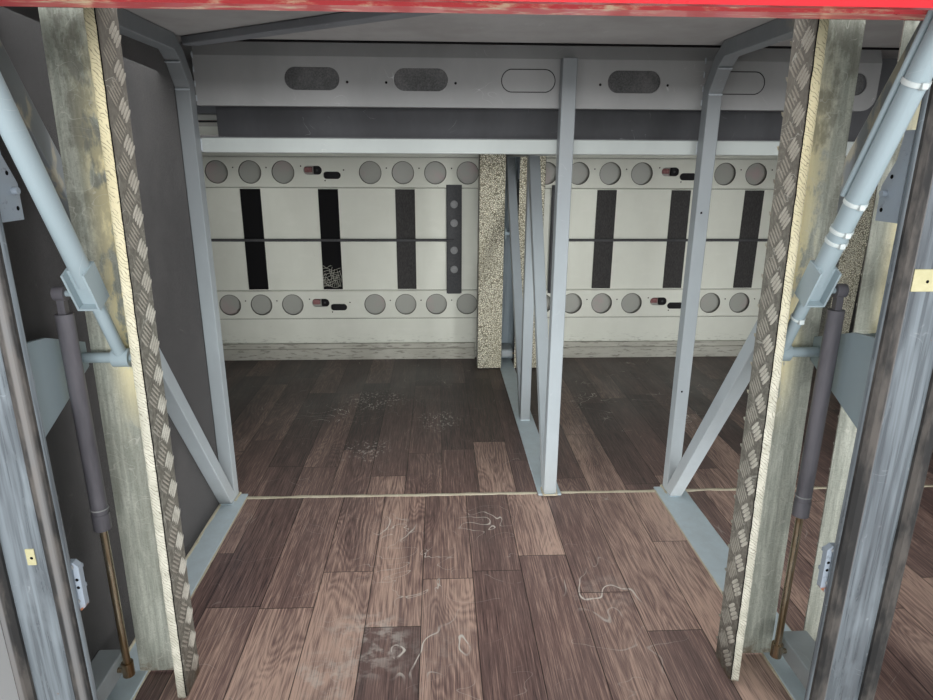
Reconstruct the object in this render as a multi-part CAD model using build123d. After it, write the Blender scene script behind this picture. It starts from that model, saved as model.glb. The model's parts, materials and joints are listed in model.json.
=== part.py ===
"""Underfloor hold section of a transporter body, with lift-up side flaps. Millimetres.

+X runs along the vehicle, +Y across it into the hold from the near side, +Z up.
The origin is on the underside of the base frame, at the middle of the far bays.
Heights named *_h are above the floor covering; places across the body are distances from its middle.
"""
from build123d import *
import os
from math import cos, radians, sin, sqrt, tan

# Body
body_width = 2500.0
far_bay = 1828.0            # pitch of the pillars on the far side
near_bay = 1426.0           # pitch of the frames on the near side
near_shift = (0.0, -16.0, -16.0)        # near pillars, from their frames
middle_y = -284.0           # plane of the middle posts
floor_z = 140.0
board_t = 22.0
seam_gap = 4.0
ceiling_h = 1340.0          # over the near half
deck_t = 24.0
panel_t = 12.0

# Frames
tube = 40.0
sill_t = 6.0
near_sill_w = 99.0
far_sill_w = 76.0
member_w = 72.0             # members of the base frame
haunch_drop = 112.0         # below the ceiling, where the middle post starts to lean
haunch_run = 66.0
haunch_bend = 50.0
near_brace_inset = 95.0    # from the skin to where the near diagonal meets the roof chord
inner_post_y = 324.0
far_brace_inset = 130.0
side_member_w = 60.0
roof_brace_turn = 34.0      # roof brace, from the vehicle's length
side_member_h = 90.0

# Header beam and stowage tray
beam_depth = 160.0          # below the ceiling
beam_crease_drop = 35.0
tray_mouth = 82.0           # between the beam and the middle rail
beam_lean = 14.0
beam_return = 30.0
beam_end_x = 880.0
beam_t = 3.0
beam_corner = 40.0
slot_x0 = -692.0
slot_pitch = 293.0
slot_l = 147.0
slot_w = 58.0
slot_rise = 70.0            # above the beam's lower edge
slot_places = 6
blank_places = (2, 4)
tray_depth = 154.0
tray_t = 2.0

# Sides
skin_t = 3.0
base_inset = 35.0           # base frame behind the skin's face
pillar_inset = 38.0
pillar_depth = 34.0
pillar_half = 48.0
pillar_flange_half = 44.0
pillar_flange_t = 12.0
pillar_wing_half, pillar_wing_t = 63.0, 10.0        # outer part, with the seals
pillar_bevel = 4.0
seal_in, seal_out, seal_d = 34.0, 60.0, 12.0
groove_d = 5.0
threshold_inset = 60.0
threshold_steps = ((0.0, 60.0), (13.0, 87.0))      # set-back, height
near_threshold_drop = 27.0

# Corner guards
guard_t = 3.0
guard_side = 157.0          # from the frame's plane to the guard's long leg
guard_gap = 34.0            # from the frame's plane to the end of its inner leg
guard_lip = 16.0
guard_depth = 76.0
guard_inset = 242.0         # from the skin to the inner leg's foot
guard_lean = 1.62           # degrees from upright, foot outwards
guard_bend = 6.0

# Flaps
flap_gap = 4.0              # half of the gap between two flaps
flap_bottom_h = -56.0
flap_drop = 125.0           # top of the flap below the ceiling
flap_fold = 7.0
frame_gap = 70.0            # from the pillar's middle to the inner frame
frame_t = 2.0
frame_inset_low, frame_inset_top = 6.0, 20.0
rail_inset, band_inset, field_inset = 27.0, 23.0, 15.0      # from the skin's face to the pressed sheet
low_rail_h = (228.0, 370.0)
high_rail_drop = (305.0, 165.0)     # below the flap's top
step_h = 6.0
stile_w = 36.0
hole_d = 112.0
hole_first = 218.0
hole_pitch = 164.5
slot_pair = ((-70.0, 10.0, 92.0, 44.0), (25.0, -14.0, 88.0, 36.0))  # x, height, length, width
strip_w = 100.0
strip_pitch = 391.0
strip_t = 8.0
latch_edge = 272.0          # from the pillar's middle to the latch bar
latch_w, latch_back_w, latch_t = 66.0, 80.0, 8.0
boss_d = 44.0
boss_rise, boss_drop = (120.0, 220.0), (180.0, 85.0)      # above the low rail, below the high one
rod_d = 14.0
rod_h = 642.0

# Lift linkage
pivot_inset, pivot_h = 238.0, 698.0
arm_x = 100.0               # from the pillar's middle
hinge_h = 44.5              # the flap's hinge when closed
raised_deg = 26.7           # from straight up
closed_deg = 16.05          # from straight down
arm_d, arm_low_d = 32.0, 22.0
arm_eye_d, arm_eye_w = 34.0, 30.0
pivot_pin_d = 16.0
hinge_pin_d = 12.0
hinge_eye_d, hinge_eye_w = 30.0, 16.0
ear_gap, ear_t, ear_h = 1.5, 5.0, 12.0
neck_l = 46.0
clasp_w, clasp_d, clasp_l, clasp_t = 36.0, 40.0, 70.0, 3.5
clasp_at = 165.0
strut_x = 50.0
strut_at = 146.0            # strut pin, along the arm from its pivot
strut_pin_d = 10.0
strut_inset, strut_h = 170.0, 72.0  # foot of the strut when the flap is raised
cylinder_d, cylinder_l = 28.0, 404.0
cylinder_top = 34.0         # from the pin to the closed end
head_t = 14.0
collar_l, collar_t = 32.0, 1.0
rod_engaged = 30.0
piston_rod_d = 14.0
strut_eye_d, strut_eye_w = 24.0, 18.0
foot_d, foot_l = 22.0, 30.0
stud_d = 10.0
running = 0.05              # radial, at every pin
stud_gap = 0.3
bracket_half = 30.0
gusset_x, gusset_t = 22.0, 6.0
gusset_root = (-105.0, 70.0)            # heights on the pillar, from the pivot
gusset_tip = ((90.0, 62.0), (-20.0, 24.0), (-20.0, -22.0), (30.0, -44.0))   # outwards and up, from the pivot
boss_tube_d = 19.0
eye_gap = 3.0
pin_head = 4.0
stub_inset, stub_half, stub_r = 26.0, 22.0, 8.0
loom_d = 9.0                # cable loom tied to one arm
loom_ends = (320.0, 625.0)  # along the arm
loom_turn = 50.0            # degrees, from the bay's side towards the hold

# Latch striker and upper stop, on the pillar's edge
striker_h = (311.0, 404.0)
striker_w, striker_d, striker_cut = 24.0, 11.5, 8.0
striker_boss_h = (345.0, 383.0)
striker_boss_d, striker_boss_l = 12.0, 14.0
# upper stop: depth from the pillar's inner face, and height
stop_shape = ((-12.0, 1086.0), (8.0, 1086.0), (14.0, 1045.0), (38.0, 1005.0), (38.0, 953.0), (-12.0, 953.0))
stop_w = 10.0
stop_pin_h, stop_pin_d = 995.0, 10.0
stop_pin_y = 24.0           # from the pillar's inner face
stop_pin_half = 13.0

# Worked out from the sizes above
side_y = body_width / 2
base_y = side_y - base_inset
pillar_y = side_y - pillar_inset
pillar_in_y = pillar_y - pillar_depth
rail_y, band_y, field_y = side_y - rail_inset, side_y - band_inset, side_y - field_inset
pivot_y, strut_y = side_y - pivot_inset, side_y - strut_inset
arm_l = (pivot_h - hinge_h) / cos(radians(closed_deg))
far_planes = [-far_bay, 0.0, far_bay]
near_planes = [far_bay - 2 * near_bay, far_bay - near_bay, far_bay]
near_pillars = [x + shift for x, shift in zip(near_planes, near_shift)]
wall_off = tube / 2 + panel_t
top_z = floor_z + ceiling_h
haunch_h = ceiling_h - haunch_drop
beam_h = ceiling_h - beam_depth
beam_crease_h = ceiling_h - beam_crease_drop
slot_h = beam_h + slot_rise
rail_h = beam_h - tray_mouth - tube     # underside of the middle rail
low_ceiling_h = rail_h + tube
flap_top_h = ceiling_h - flap_drop
frame_bottom_h, frame_top_h = flap_bottom_h + frame_inset_low, flap_top_h - frame_inset_top
high_rail_h = (flap_top_h - high_rail_drop[0], flap_top_h - high_rail_drop[1])
member_in_y = base_y - side_member_w
closing_deg = 180.0 - raised_deg - closed_deg
strut_long = sqrt((strut_y - pivot_y - strut_at * sin(radians(raised_deg))) ** 2
                  + (pivot_h + strut_at * cos(radians(raised_deg)) - strut_h) ** 2)
closed_pin_y = pivot_y + strut_at * sin(radians(closed_deg))
closed_pin_h = pivot_h - strut_at * cos(radians(closed_deg))
strut_short = sqrt((strut_y - closed_pin_y) ** 2 + (closed_pin_h - strut_h) ** 2)


def block(x, y, z):
    """A box between two places on each axis."""
    return Pos((x[0] + x[1]) / 2, (y[0] + y[1]) / 2, (z[0] + z[1]) / 2) * Box(
        abs(x[1] - x[0]), abs(y[1] - y[0]), abs(z[1] - z[0]))


def around(x, half):
    return (x - half, x + half)


def band(path, t):
    """Outline of a strip of width t along a path, with mitred corners: its left side and its right side."""
    left, right = [], []
    for i, p in enumerate(path):
        here = Vector(*p)
        before = (here - Vector(*path[i - 1])).normalized() if i else None
        after = (Vector(*path[i + 1]) - here).normalized() if i < len(path) - 1 else None
        before, after = before or after, after or before
        n1, n2 = Vector(-before.Y, before.X), Vector(-after.Y, after.X)
        off = (n1 + n2) * (t / 2 / (1 + n1.dot(n2)))
        left.append(here + off)
        right.append(here - off)
    return left, right


def strip_face(path, t, bend=0.0):
    """Flat face of a strip along a path, its corners bent to an inside radius."""
    left, right = band(path, t)
    face = make_face(Polyline(*(left + right[::-1]), close=True))
    if bend:
        for i in range(1, len(path) - 1):
            turn = (Vector(*path[i]) - Vector(*path[i - 1])).cross(Vector(*path[i + 1]) - Vector(*path[i])).Z
            for corner, r in ((left[i], bend if turn > 0 else bend + t), (right[i], bend + t if turn > 0 else bend)):
                face = fillet(face.vertices().sort_by_distance(corner)[0], r)
    return face


def along_x(face, x):
    """A face drawn in (Y, Z), made solid from x[0] to x[1]."""
    return extrude(Plane.YZ.offset(x[0]) * face, amount=x[1] - x[0])


def along_z(face, z):
    """A face drawn in (X, Y), made solid from z[0] to z[1]."""
    return extrude(Plane.XY.offset(z[0]) * face, amount=z[1] - z[0])


def outline(points):
    return make_face(Polyline(*points, close=True))


def pin_x(y, z, x, d):
    """A round bar along X."""
    return Pos((x[0] + x[1]) / 2, y, z) * Rot(0, 90, 0) * Cylinder(d / 2, abs(x[1] - x[0]))


def pin_y(x, z, y, d):
    return Pos(x, (y[0] + y[1]) / 2, z) * Rot(90, 0, 0) * Cylinder(d / 2, abs(y[1] - y[0]))


def joined(solids):
    """One solid from pieces that touch or overlap."""
    solids = list(solids)
    return solids[0].fuse(*solids[1:]).clean() if len(solids) > 1 else solids[0]


def base_frame():
    """Rectangular tubes: rails along the body, and cross members under each plane and each bay's middle."""
    half, z = member_w / 2, (0.0, floor_z - board_t)
    rails = ((near_planes[0], -base_y, -base_y + member_w), (far_planes[0], middle_y - half, middle_y + half),
             (far_planes[0], base_y - member_w, base_y))
    parts = [block((x0 - half, far_bay + half), (y0, y1), z) for x0, y0, y1 in rails]
    for planes, y in ((near_planes, (-base_y, middle_y)), (far_planes, (middle_y, base_y))):
        middles = [(a + b) / 2 for a, b in zip(planes, planes[1:])]
        parts += [block(around(x, half), y, z) for x in planes + middles]
    return joined(parts)


def bay_sides(planes):
    """Each pillar plane with the sides, -1 or 1, on which it has a bay."""
    return [(x, s) for i, x in enumerate(planes) for s in (-1, 1) if 0 <= i + (s - 1) // 2 < len(planes) - 1]


def bay_reach(x, planes, open_reach, closed_reach):
    """Span about a plane that reaches further on the sides that have a bay."""
    sides = [s for px, s in bay_sides(planes) if px == x]
    return (x - (open_reach if -1 in sides else closed_reach), x + (open_reach if 1 in sides else closed_reach))


def floor_board(side):
    """Covered plywood; the two boards meet at a sealed seam in the middle plane."""
    half, z = member_w / 2, (floor_z - board_t, floor_z)
    step_x = near_planes[0] - half
    if side < 0:
        return block((step_x, far_bay + half), (-base_y, middle_y - seam_gap / 2), z)
    return joined([block((step_x, far_bay + half), (middle_y + seam_gap / 2, base_y), z),
                   block((far_planes[0] - half, step_x), (middle_y - tube / 2, base_y), z)])


def near_frame(x):
    """Sill, middle post bent over into the roof chord, and one diagonal."""
    half, foot = tube / 2, floor_z + sill_t
    chord_z = top_z - half
    sill = block(bay_reach(x, near_planes, near_sill_w / 2, half), (-pillar_in_y, middle_y + half), (floor_z, foot))
    bent = strip_face([(middle_y, foot), (middle_y, floor_z + haunch_h),
                       (middle_y - haunch_bend, floor_z + haunch_h + haunch_run),
                       (middle_y - haunch_bend - tube, chord_z), (-member_in_y, chord_z)], tube)
    brace = strip_face([(middle_y, foot - tube), (near_brace_inset - side_y, chord_z)], tube)
    brace = along_x(brace, around(x, half)) & block(around(x, half), (-member_in_y, middle_y), (foot, chord_z))
    return joined([sill, along_x(bent, around(x, half)), brace])


def far_frame(x):
    """Sill, middle and inner posts, low chord and two diagonals."""
    half, foot = tube / 2, floor_z + sill_t
    chord = (floor_z + low_ceiling_h - tube, floor_z + low_ceiling_h)
    shared = x > near_planes[0] and x in near_planes
    start_y = middle_y + half if shared else middle_y - half
    chord_y = middle_y + (half + tube if x > near_planes[0] else half)
    parts = [block(bay_reach(x, far_planes, far_sill_w / 2, half), (start_y, pillar_in_y), (floor_z, foot)),
             block(around(x, half), (chord_y, pillar_in_y), chord),
             block(around(x, half), around(inner_post_y, half), (foot, chord[0]))]
    if not shared:
        parts.append(block(around(x, half), around(middle_y, half), (foot, floor_z + beam_crease_h)))
    for y0, y1, low in ((middle_y, inner_post_y, middle_y + half), (inner_post_y, side_y - far_brace_inset, inner_post_y)):
        brace = along_x(strip_face([(y0, foot - half), (y1, chord[0] + half)], tube), around(x, half))
        parts.append(brace & block(around(x, half), (low, pillar_in_y), (foot, chord[0])))
    return joined(parts)


def inner_span():
    return (near_planes[0] + tube / 2, near_planes[2] - tube / 2)


def mid_rail():
    y = middle_y + tube / 2
    return block(inner_span(), (y, y + tube), (floor_z + rail_h, floor_z + rail_h + tube))


def obround(x, z, length, width, y):
    """A slot's cutter along Y."""
    face = make_face(SlotOverall(length, width).edges())
    return extrude(Plane(origin=(x, y[0], z), x_dir=(1, 0, 0), z_dir=(0, 1, 0)) * face, amount=y[1] - y[0])


def header_beam():
    """Pressed beam with a row of oblong holes, two of them left blank."""
    face_y = middle_y + tube / 2 + beam_t / 2
    path = [(face_y + beam_return, floor_z + beam_h + beam_t / 2), (face_y, floor_z + beam_h + beam_t / 2),
            (face_y, floor_z + beam_crease_h), (face_y + beam_lean, top_z)]
    face = strip_face(path, beam_t) & outline([(face_y - tube, floor_z + beam_h), (face_y + tray_depth, floor_z + beam_h),
                                               (face_y + tray_depth, top_z), (face_y - tube, top_z)])
    beam = along_x(face, (inner_span()[0], beam_end_x))
    for i in set(range(slot_places)) - set(blank_places):
        beam -= obround(slot_x0 + i * slot_pitch, floor_z + slot_h, slot_l, slot_w, around(face_y, beam_t))
    end = block((inner_span()[0], beam_end_x), (face_y - tube, face_y + tray_depth), (floor_z + beam_h, top_z))
    return beam & fillet(end.edges().filter_by(Axis.Y).sort_by_distance((beam_end_x, face_y, floor_z + beam_h))[0], beam_corner)


def stowage_tray():
    """Folded sheet behind the header beam, open to the front between the beam and the middle rail."""
    y = middle_y + tube / 2
    z = floor_z + rail_h + tube + tray_t / 2
    back = y + tray_depth - tray_t / 2
    return along_x(strip_face([(y, z), (back, z), (back, top_z)], tray_t), inner_span())


def roof_brace():
    """Diagonal tube under the ceiling, from the left middle post towards the near side."""
    start_x, start_y = near_planes[0] + tube / 2, middle_y - tube / 2
    run = start_y + member_in_y
    slope = 1 / tan(radians(roof_brace_turn))
    path = [(start_x - slope * tube, start_y + tube), (start_x + slope * (run + tube), -member_in_y - tube)]
    brace = along_z(strip_face(path, tube), (top_z - tube / 2, top_z))
    return brace & block((start_x, far_bay), (-member_in_y, start_y), (top_z - tube, top_z))


def ceiling_near():
    return block((near_planes[0] - wall_off, far_bay + wall_off), (-base_y, middle_y + tube / 2 + tray_depth),
                 (top_z, top_z + deck_t))


def deck_far():
    z = (top_z, top_z + deck_t)
    seam = near_planes[0] - wall_off
    return joined([block((seam, far_bay + wall_off), (middle_y + tube / 2 + tray_depth, base_y), z),
                   block((far_planes[0] - wall_off, seam), (middle_y - panel_t / 2, base_y), z)])


def ceiling_far():
    z = floor_z + low_ceiling_h
    y = middle_y + tube / 2
    seam = near_planes[0] - wall_off
    return joined([block((seam, far_bay + tube / 2), (y + tray_depth, member_in_y), (z, z + panel_t)),
                   block((far_planes[0] - tube / 2, seam), (y, member_in_y), (z, z + panel_t))])


def cant_rails():
    """Side members under the deck."""
    z = (top_z - side_member_h, top_z)
    half = tube / 2
    return Compound([block((near_planes[0] - half, far_bay + half), (-base_y, -member_in_y), z),
                     block((far_planes[0] - half, far_bay + half), (member_in_y, base_y), z)])


def cant_panels():
    """Outer strip above the flaps: a sheet folded in to the side member below, and to the deck's edge above."""
    t = skin_t
    low, high = floor_z + flap_top_h + 2 * flap_gap + t / 2, top_z + deck_t - t / 2
    path = [(base_y + t / 2, low + tube), (base_y + t / 2, low), (side_y - t / 2, low),
            (side_y - t / 2, high), (base_y + t / 2, high), (base_y + t / 2, top_z)]
    flipped = [(-y, z) for y, z in path]
    return Compound([along_x(strip_face(flipped, t), (near_planes[0] - wall_off, far_bay + wall_off)),
                     along_x(strip_face(path, t), (far_planes[0] - wall_off, far_bay + wall_off))])


def pillar_section(x, side):
    """Plan of a pillar: inner flange, shoulders, wings and two seal grooves."""
    shoulder, groove = pillar_in_y + pillar_flange_t, ((seal_in * 3 + seal_out) / 4, (seal_in + seal_out * 3) / 4)
    wing_y = pillar_y - pillar_wing_t
    half = [(pillar_flange_half, pillar_in_y), (pillar_flange_half, shoulder), (pillar_half, shoulder), (pillar_half, wing_y),
            (pillar_wing_half, wing_y), (pillar_wing_half, pillar_y - pillar_bevel),
            (pillar_wing_half - pillar_bevel / 2, pillar_y), (groove[1], pillar_y),
            (groove[1], pillar_y - groove_d), (groove[0], pillar_y - groove_d), (groove[0], pillar_y)]
    return outline([(x + dx, side * y) for dx, y in half] + [(x - dx, side * y) for dx, y in reversed(half)])


def pillars():
    """Door pillars from the floor to the side member."""
    z = (floor_z, top_z - side_member_h)
    return Compound([along_z(pillar_section(x, side), z)
                     for side, planes in ((-1, near_pillars), (1, far_planes)) for x in planes])


def pillar_seals():
    """Rubber profiles that stand in the pillars' grooves: a foot and a wider lobe with bevelled lips."""
    out = []
    for side, planes in ((-1, near_pillars), (1, far_planes)):
        for x, s in [(x, s) for x in planes for s in (-1, 1)]:
            mid, w = x + s * (seal_in + seal_out) / 2, (seal_out - seal_in) / 2
            half = [(w / 2, pillar_y - groove_d), (w / 2, pillar_y), (w, pillar_y), (w, pillar_y + seal_d / 2),
                    (w / 2, pillar_y + seal_d)]
            section = outline([(mid + dx, side * y) for dx, y in half] + [(mid - dx, side * y) for dx, y in reversed(half)])
            out.append(along_z(section, (floor_z, floor_z + flap_top_h)))
    return Compound(out)


def left_walls():
    """Lined panels that close off the near left corner and the far left end."""
    x0, x1 = near_planes[0], far_planes[0]
    return Compound([
        block((x0 - wall_off, x0 - tube / 2), (-pillar_in_y, middle_y - tube / 2), (floor_z, top_z)),
        block((x1 + tube / 2, x0 - tube / 2), around(middle_y, panel_t / 2), (floor_z + sill_t, top_z)),
        block((x1 - wall_off, x1 - tube / 2), (middle_y + tube / 2, pillar_in_y), (floor_z, floor_z + low_ceiling_h))])


def end_wall():
    return block((far_bay + tube / 2, far_bay + wall_off), (-pillar_in_y, pillar_in_y), (floor_z, top_z))


def guards(side, planes, height):
    """Bent sheet around each lift linkage: lip, long leg and inner leg, its foot leaning outwards."""
    trim = block((planes[0], planes[-1]), (0, side * side_y), (floor_z + sill_t, floor_z + height))
    place = Pos(0, side * (side_y - guard_inset), floor_z) * Rot(side * guard_lean, 0, 0)
    out = []
    for x, s in bay_sides(planes):
        path = [(x + s * (guard_side - guard_lip), side * guard_depth), (x + s * guard_side, side * guard_depth),
                (x + s * guard_side, 0), (x + s * guard_gap, 0)]
        out.append(trim & (place * along_z(strip_face(path, guard_t, guard_bend), (-guard_lip, height + guard_lip))))
    return Compound(out)


def thresholds():
    """Two-step edge profile between the guards of each bay."""
    out = []
    for side, planes, drop in ((-1, near_planes, near_threshold_drop), (1, far_planes, 0.0)):
        for a, b in zip(planes, planes[1:]):
            span = (a + guard_side + guard_t, b - guard_side - guard_t)
            steps = [block(span, (side * (side_y - threshold_inset + set_back), side * base_y), (floor_z, floor_z + h - drop))
                     for set_back, h in threshold_steps]
            out.append(joined(steps))
    return Compound(out)


def arm_brackets():
    """Tube across each pillar plane with a pin for each arm, carried by gussets on the pillar."""
    out = []
    pivot_z = floor_z + pivot_h
    end = arm_x - arm_eye_w / 2 - eye_gap
    for side, planes in ((-1, near_pillars), (1, far_planes)):
        root = [(pillar_in_y, h) for h in gusset_root]
        shape = [(side * y, pivot_z + h) for y, h in root + [(pivot_y + out_y, h) for out_y, h in gusset_tip]]
        for x in planes:
            sides = [s for px, s in bay_sides(planes) if px == x]
            boss = bay_reach(x, planes, end, tube / 2)
            parts = [pin_x(side * pivot_y, pivot_z, boss, boss_tube_d)]
            for s in sides:
                pin = (x + s * (end - 1), x + s * (arm_x + arm_eye_w / 2 + pin_head))
                parts.append(pin_x(side * pivot_y, pivot_z, pin, pivot_pin_d))
                parts.append(along_x(outline(shape), sorted((x + s * gusset_x, x + s * (gusset_x + gusset_t)))))
            out.append(joined(parts))
    return Compound(out)


def strut_brackets():
    """Stub on each pillar's inner face; the strut's foot stands against its flat cheek."""
    out = []
    for side, planes in ((-1, near_pillars), (1, far_planes)):
        for x in planes:
            stub = block(bay_reach(x, planes, bracket_half, tube / 2), (side * (pivot_y + stub_inset), side * pillar_in_y),
                         around(floor_z + strut_h, stub_half))
            out.append(chamfer(stub.edges().filter_by(Axis.X), stub_r))
    return Compound(out)


def pillar_fittings():
    """Latch striker and upper stop on each pillar's edge."""
    out = []
    for side, planes in ((-1, near_pillars), (1, far_planes)):
        for x, s in bay_sides(planes):
            shoulder_y = pillar_in_y + pillar_flange_t
            edge = x + s * pillar_half
            plate = block((edge, edge + s * striker_w), (side * shoulder_y, side * (shoulder_y + striker_d)),
                          [floor_z + h for h in striker_h])
            striker = [chamfer(plate.edges().filter_by(Axis.Y).group_by(Axis.X)[-1 if s > 0 else 0], striker_cut)]
            for h in striker_boss_h:
                boss = Plane(origin=(edge + s * striker_w / 2, side * shoulder_y, floor_z + h), z_dir=(0, -side, 0))
                striker.append(extrude(boss * RegularPolygon(striker_boss_d / 2, 6), amount=striker_boss_l))
            stop_x = (x + s * pillar_flange_half, x + s * (pillar_flange_half + stop_w))
            plate = outline([(side * (pillar_in_y - depth), floor_z + h) for depth, h in stop_shape])
            stop = [along_x(plate, sorted(stop_x)),
                    pin_x(side * (pillar_in_y - stop_pin_y), floor_z + stop_pin_h,
                          around(sum(stop_x) / 2, stop_pin_half), stop_pin_d)]
            out += [joined(striker), joined(stop)]
    return Compound(out)


def flap_lift(side):
    """Where a flap lies at rest: the near ones are raised, the far ones closed."""
    if side > 0:
        return Pos(0, 0, 0)
    out = arm_l * (sin(radians(raised_deg)) - sin(radians(closed_deg)))
    up = arm_l * (cos(radians(raised_deg)) + cos(radians(closed_deg)))
    return Pos(0, side * out, up)


def flap_skin(side, mid, half):
    """Outer sheet with its edges folded in."""
    x, t = half - flap_gap, skin_t
    z = (floor_z + flap_bottom_h, floor_z + flap_top_h)
    outer = block(around(mid, x), (side * (side_y - t - flap_fold), side * side_y), z)
    inner = block(around(mid, x - t), (side * (side_y - 2 * t - flap_fold), side * (side_y - t)), (z[0] + t, z[1] - t))
    return outer - inner


def flap_frame(side, mid, half):
    """Pressed inner sheet with two raised rails of round holes and side stiles, and the hinges' ears and pins."""
    back = side_y - skin_t
    heights = [(back, frame_bottom_h + 1), (band_y, frame_bottom_h + 1), (band_y, low_rail_h[0] - step_h), (rail_y, low_rail_h[0]),
               (rail_y, low_rail_h[1]), (field_y, low_rail_h[1] + step_h), (field_y, high_rail_h[0] - step_h),
               (rail_y, high_rail_h[0]), (rail_y, high_rail_h[1]), (band_y, high_rail_h[1] + step_h),
               (band_y, frame_top_h - 1), (back, frame_top_h - 1)]
    path = [(side * y, floor_z + h) for y, h in heights]
    x = half - frame_gap
    sheet = along_x(strip_face(path, frame_t), around(mid, x))
    for low, high in (low_rail_h, high_rail_h):
        h = floor_z + (low + high) / 2
        cut = (side * (rail_y - 2 * frame_t), side * (rail_y + 2 * frame_t))
        count = int((x - stile_w - hole_d / 2 - hole_first) // hole_pitch) + 1
        for s in (-1, 1):
            for i in range(count):
                sheet -= pin_y(mid + s * (hole_first + i * hole_pitch), h, cut, hole_d)
        for dx, dh, length, width in slot_pair:
            sheet -= obround(mid + dx, h + dh, length, width, sorted(cut))
    parts = [sheet]
    for s in (-1, 1):
        parts.append(block((mid + s * (x - stile_w), mid + s * x), (side * (band_y - 1), side * back),
                           (floor_z + frame_bottom_h, floor_z + frame_top_h)))
    hinge_y = pivot_y + arm_l * sin(radians(closed_deg))
    hinge_z = floor_z + pivot_h - arm_l * cos(radians(closed_deg))
    ear = (hinge_eye_w / 2 + ear_gap, hinge_eye_w / 2 + ear_gap + ear_t)
    hinges = []
    for s in (-1, 1):
        x_arm = mid + s * (half - arm_x)
        hinge = [pin_x(side * hinge_y, hinge_z, around(x_arm, ear[1]), hinge_pin_d)]
        for e in (-1, 1):
            span = sorted((x_arm + e * ear[0], x_arm + e * ear[1]))
            plate = block(span, (side * (hinge_y - ear_h), side * (band_y - frame_t / 2)), around(hinge_z, ear_h))
            tip = plate.edges().filter_by(Axis.X).group_by(Axis.Y)[0 if side > 0 else -1]
            hinge.append(chamfer(tip, ear_h / 2))
        hinges.append(joined(hinge))
    return Compound([joined(parts)] + hinges)


def flap_strips(side, mid, half):
    """Three upright padding strips between the rails."""
    z = (floor_z + low_rail_h[1] + 2 * step_h, floor_z + high_rail_h[0] - 2 * step_h)
    pitch = min(strip_pitch, half - latch_edge - latch_back_w / 2 - strip_w / 2 - 20.0)
    y = (side * (field_y - frame_t / 2), side * (field_y - frame_t / 2 - strip_t))
    return Compound([block(around(mid + i * pitch, strip_w / 2), y, z) for i in (-1, 0, 1)])


def flap_latch(side, mid, half, latch_side):
    """Upright latch bar with its bosses, and the rod across the flap that works it."""
    face = rail_y - frame_t / 2
    x = mid + latch_side * (half - latch_edge)
    z = (floor_z + low_rail_h[1] - 12.0, floor_z + high_rail_h[0] + 12.0)
    parts = [block(around(x, latch_back_w / 2), (side * face, side * (face - 2.0)), z),
             block(around(x, latch_w / 2), (side * (face - 2.0), side * (face - 2.0 - latch_t)), z)]
    front = face - 2.0 - latch_t
    boss_h = [low_rail_h[1] + h for h in boss_rise] + [high_rail_h[0] - h for h in boss_drop]
    parts += [pin_y(x, floor_z + h, (side * front, side * (front - 4.0)), boss_d) for h in boss_h]
    far_x = mid - latch_side * (half - latch_edge)
    rod_y = side * (front - 1.0)
    parts.append(pin_x(rod_y, floor_z + rod_h, sorted((x, far_x)), rod_d))
    parts.append(block(around(far_x, 12.0), (rod_y - side * rod_d / 2, side * (field_y - frame_t / 2)),
                       (floor_z + rod_h - 16, floor_z + rod_h + 16)))
    return joined(parts)


def at_pivot(side, angle):
    """From an arm drawn upright at the origin to its place, leaning outwards by an angle from straight up."""
    return Pos(0, side * pivot_y, floor_z + pivot_h) * Rot(-side * angle, 0, 0)


def rest_angle(side):
    return raised_deg if side < 0 else 180.0 - closed_deg


def lift_arms(side, mid, half):
    """Two arms: foot eye, lower rod, open clasp with the strut's pin, upper tube, neck and flap eye."""
    out = []
    for s in (-1, 1):
        x = mid + s * (half - arm_x)
        eye = Rot(0, 90, 0) * Cylinder(arm_eye_d / 2, arm_eye_w)
        lower = Pos(0, 0, clasp_at / 2) * Cylinder(arm_low_d / 2, clasp_at)
        upper = Pos(0, 0, (clasp_at + arm_l - neck_l) / 2) * Cylinder(arm_d / 2, arm_l - neck_l - clasp_at)
        neck = block(around(0, hinge_eye_w / 2), around(0, hinge_eye_d / 2), (arm_l - neck_l - 20, arm_l))
        tip = Pos(0, 0, arm_l) * Rot(0, 90, 0) * Cylinder(hinge_eye_d / 2, hinge_eye_w)
        clasp = block(around(0, clasp_w / 2), (-side * 14.0, side * (clasp_d - 14.0)), around(clasp_at, clasp_l / 2))
        pocket = block(around(0, clasp_w / 2 - clasp_t), (side * (arm_d / 2 - 4), side * clasp_d),
                       (clasp_at - clasp_l / 2 + clasp_t, clasp_at + clasp_l))
        pin_end = arm_x - strut_x + strut_eye_w / 2 + eye_gap
        strut_pin = pin_x(0, strut_at, sorted((s * (clasp_w / 2 - 1), s * pin_end)), strut_pin_d)
        arm = joined([eye, lower, upper, neck, tip, clasp - pocket, strut_pin])
        arm -= Rot(0, 90, 0) * Cylinder(pivot_pin_d / 2 + running, arm_eye_w * 2)
        arm -= Pos(0, 0, arm_l) * Rot(0, 90, 0) * Cylinder(hinge_pin_d / 2 + running, arm_eye_w * 2)
        out.append(Pos(x, 0, 0) * at_pivot(side, rest_angle(side)) * arm)
    return Compound(out)


def arm_loom(side, mid, half):
    """Cable loom along the right-hand arm, against its tube on the bay's side."""
    off, turn = (arm_d + loom_d) / 2, radians(loom_turn)
    loom = Pos(-off * cos(turn), -side * off * sin(turn), sum(loom_ends) / 2) * Cylinder(loom_d / 2, loom_ends[1] - loom_ends[0])
    return Pos(mid + half - arm_x, 0, 0) * at_pivot(side, rest_angle(side)) * loom


def at_strut(side):
    """From a strut drawn hanging from its pin at the origin to its place at rest."""
    a = radians(rest_angle(side))
    y = pivot_y + strut_at * sin(a)
    z = floor_z + pivot_h + strut_at * cos(a)
    return Pos(0, side * y, z)


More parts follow.
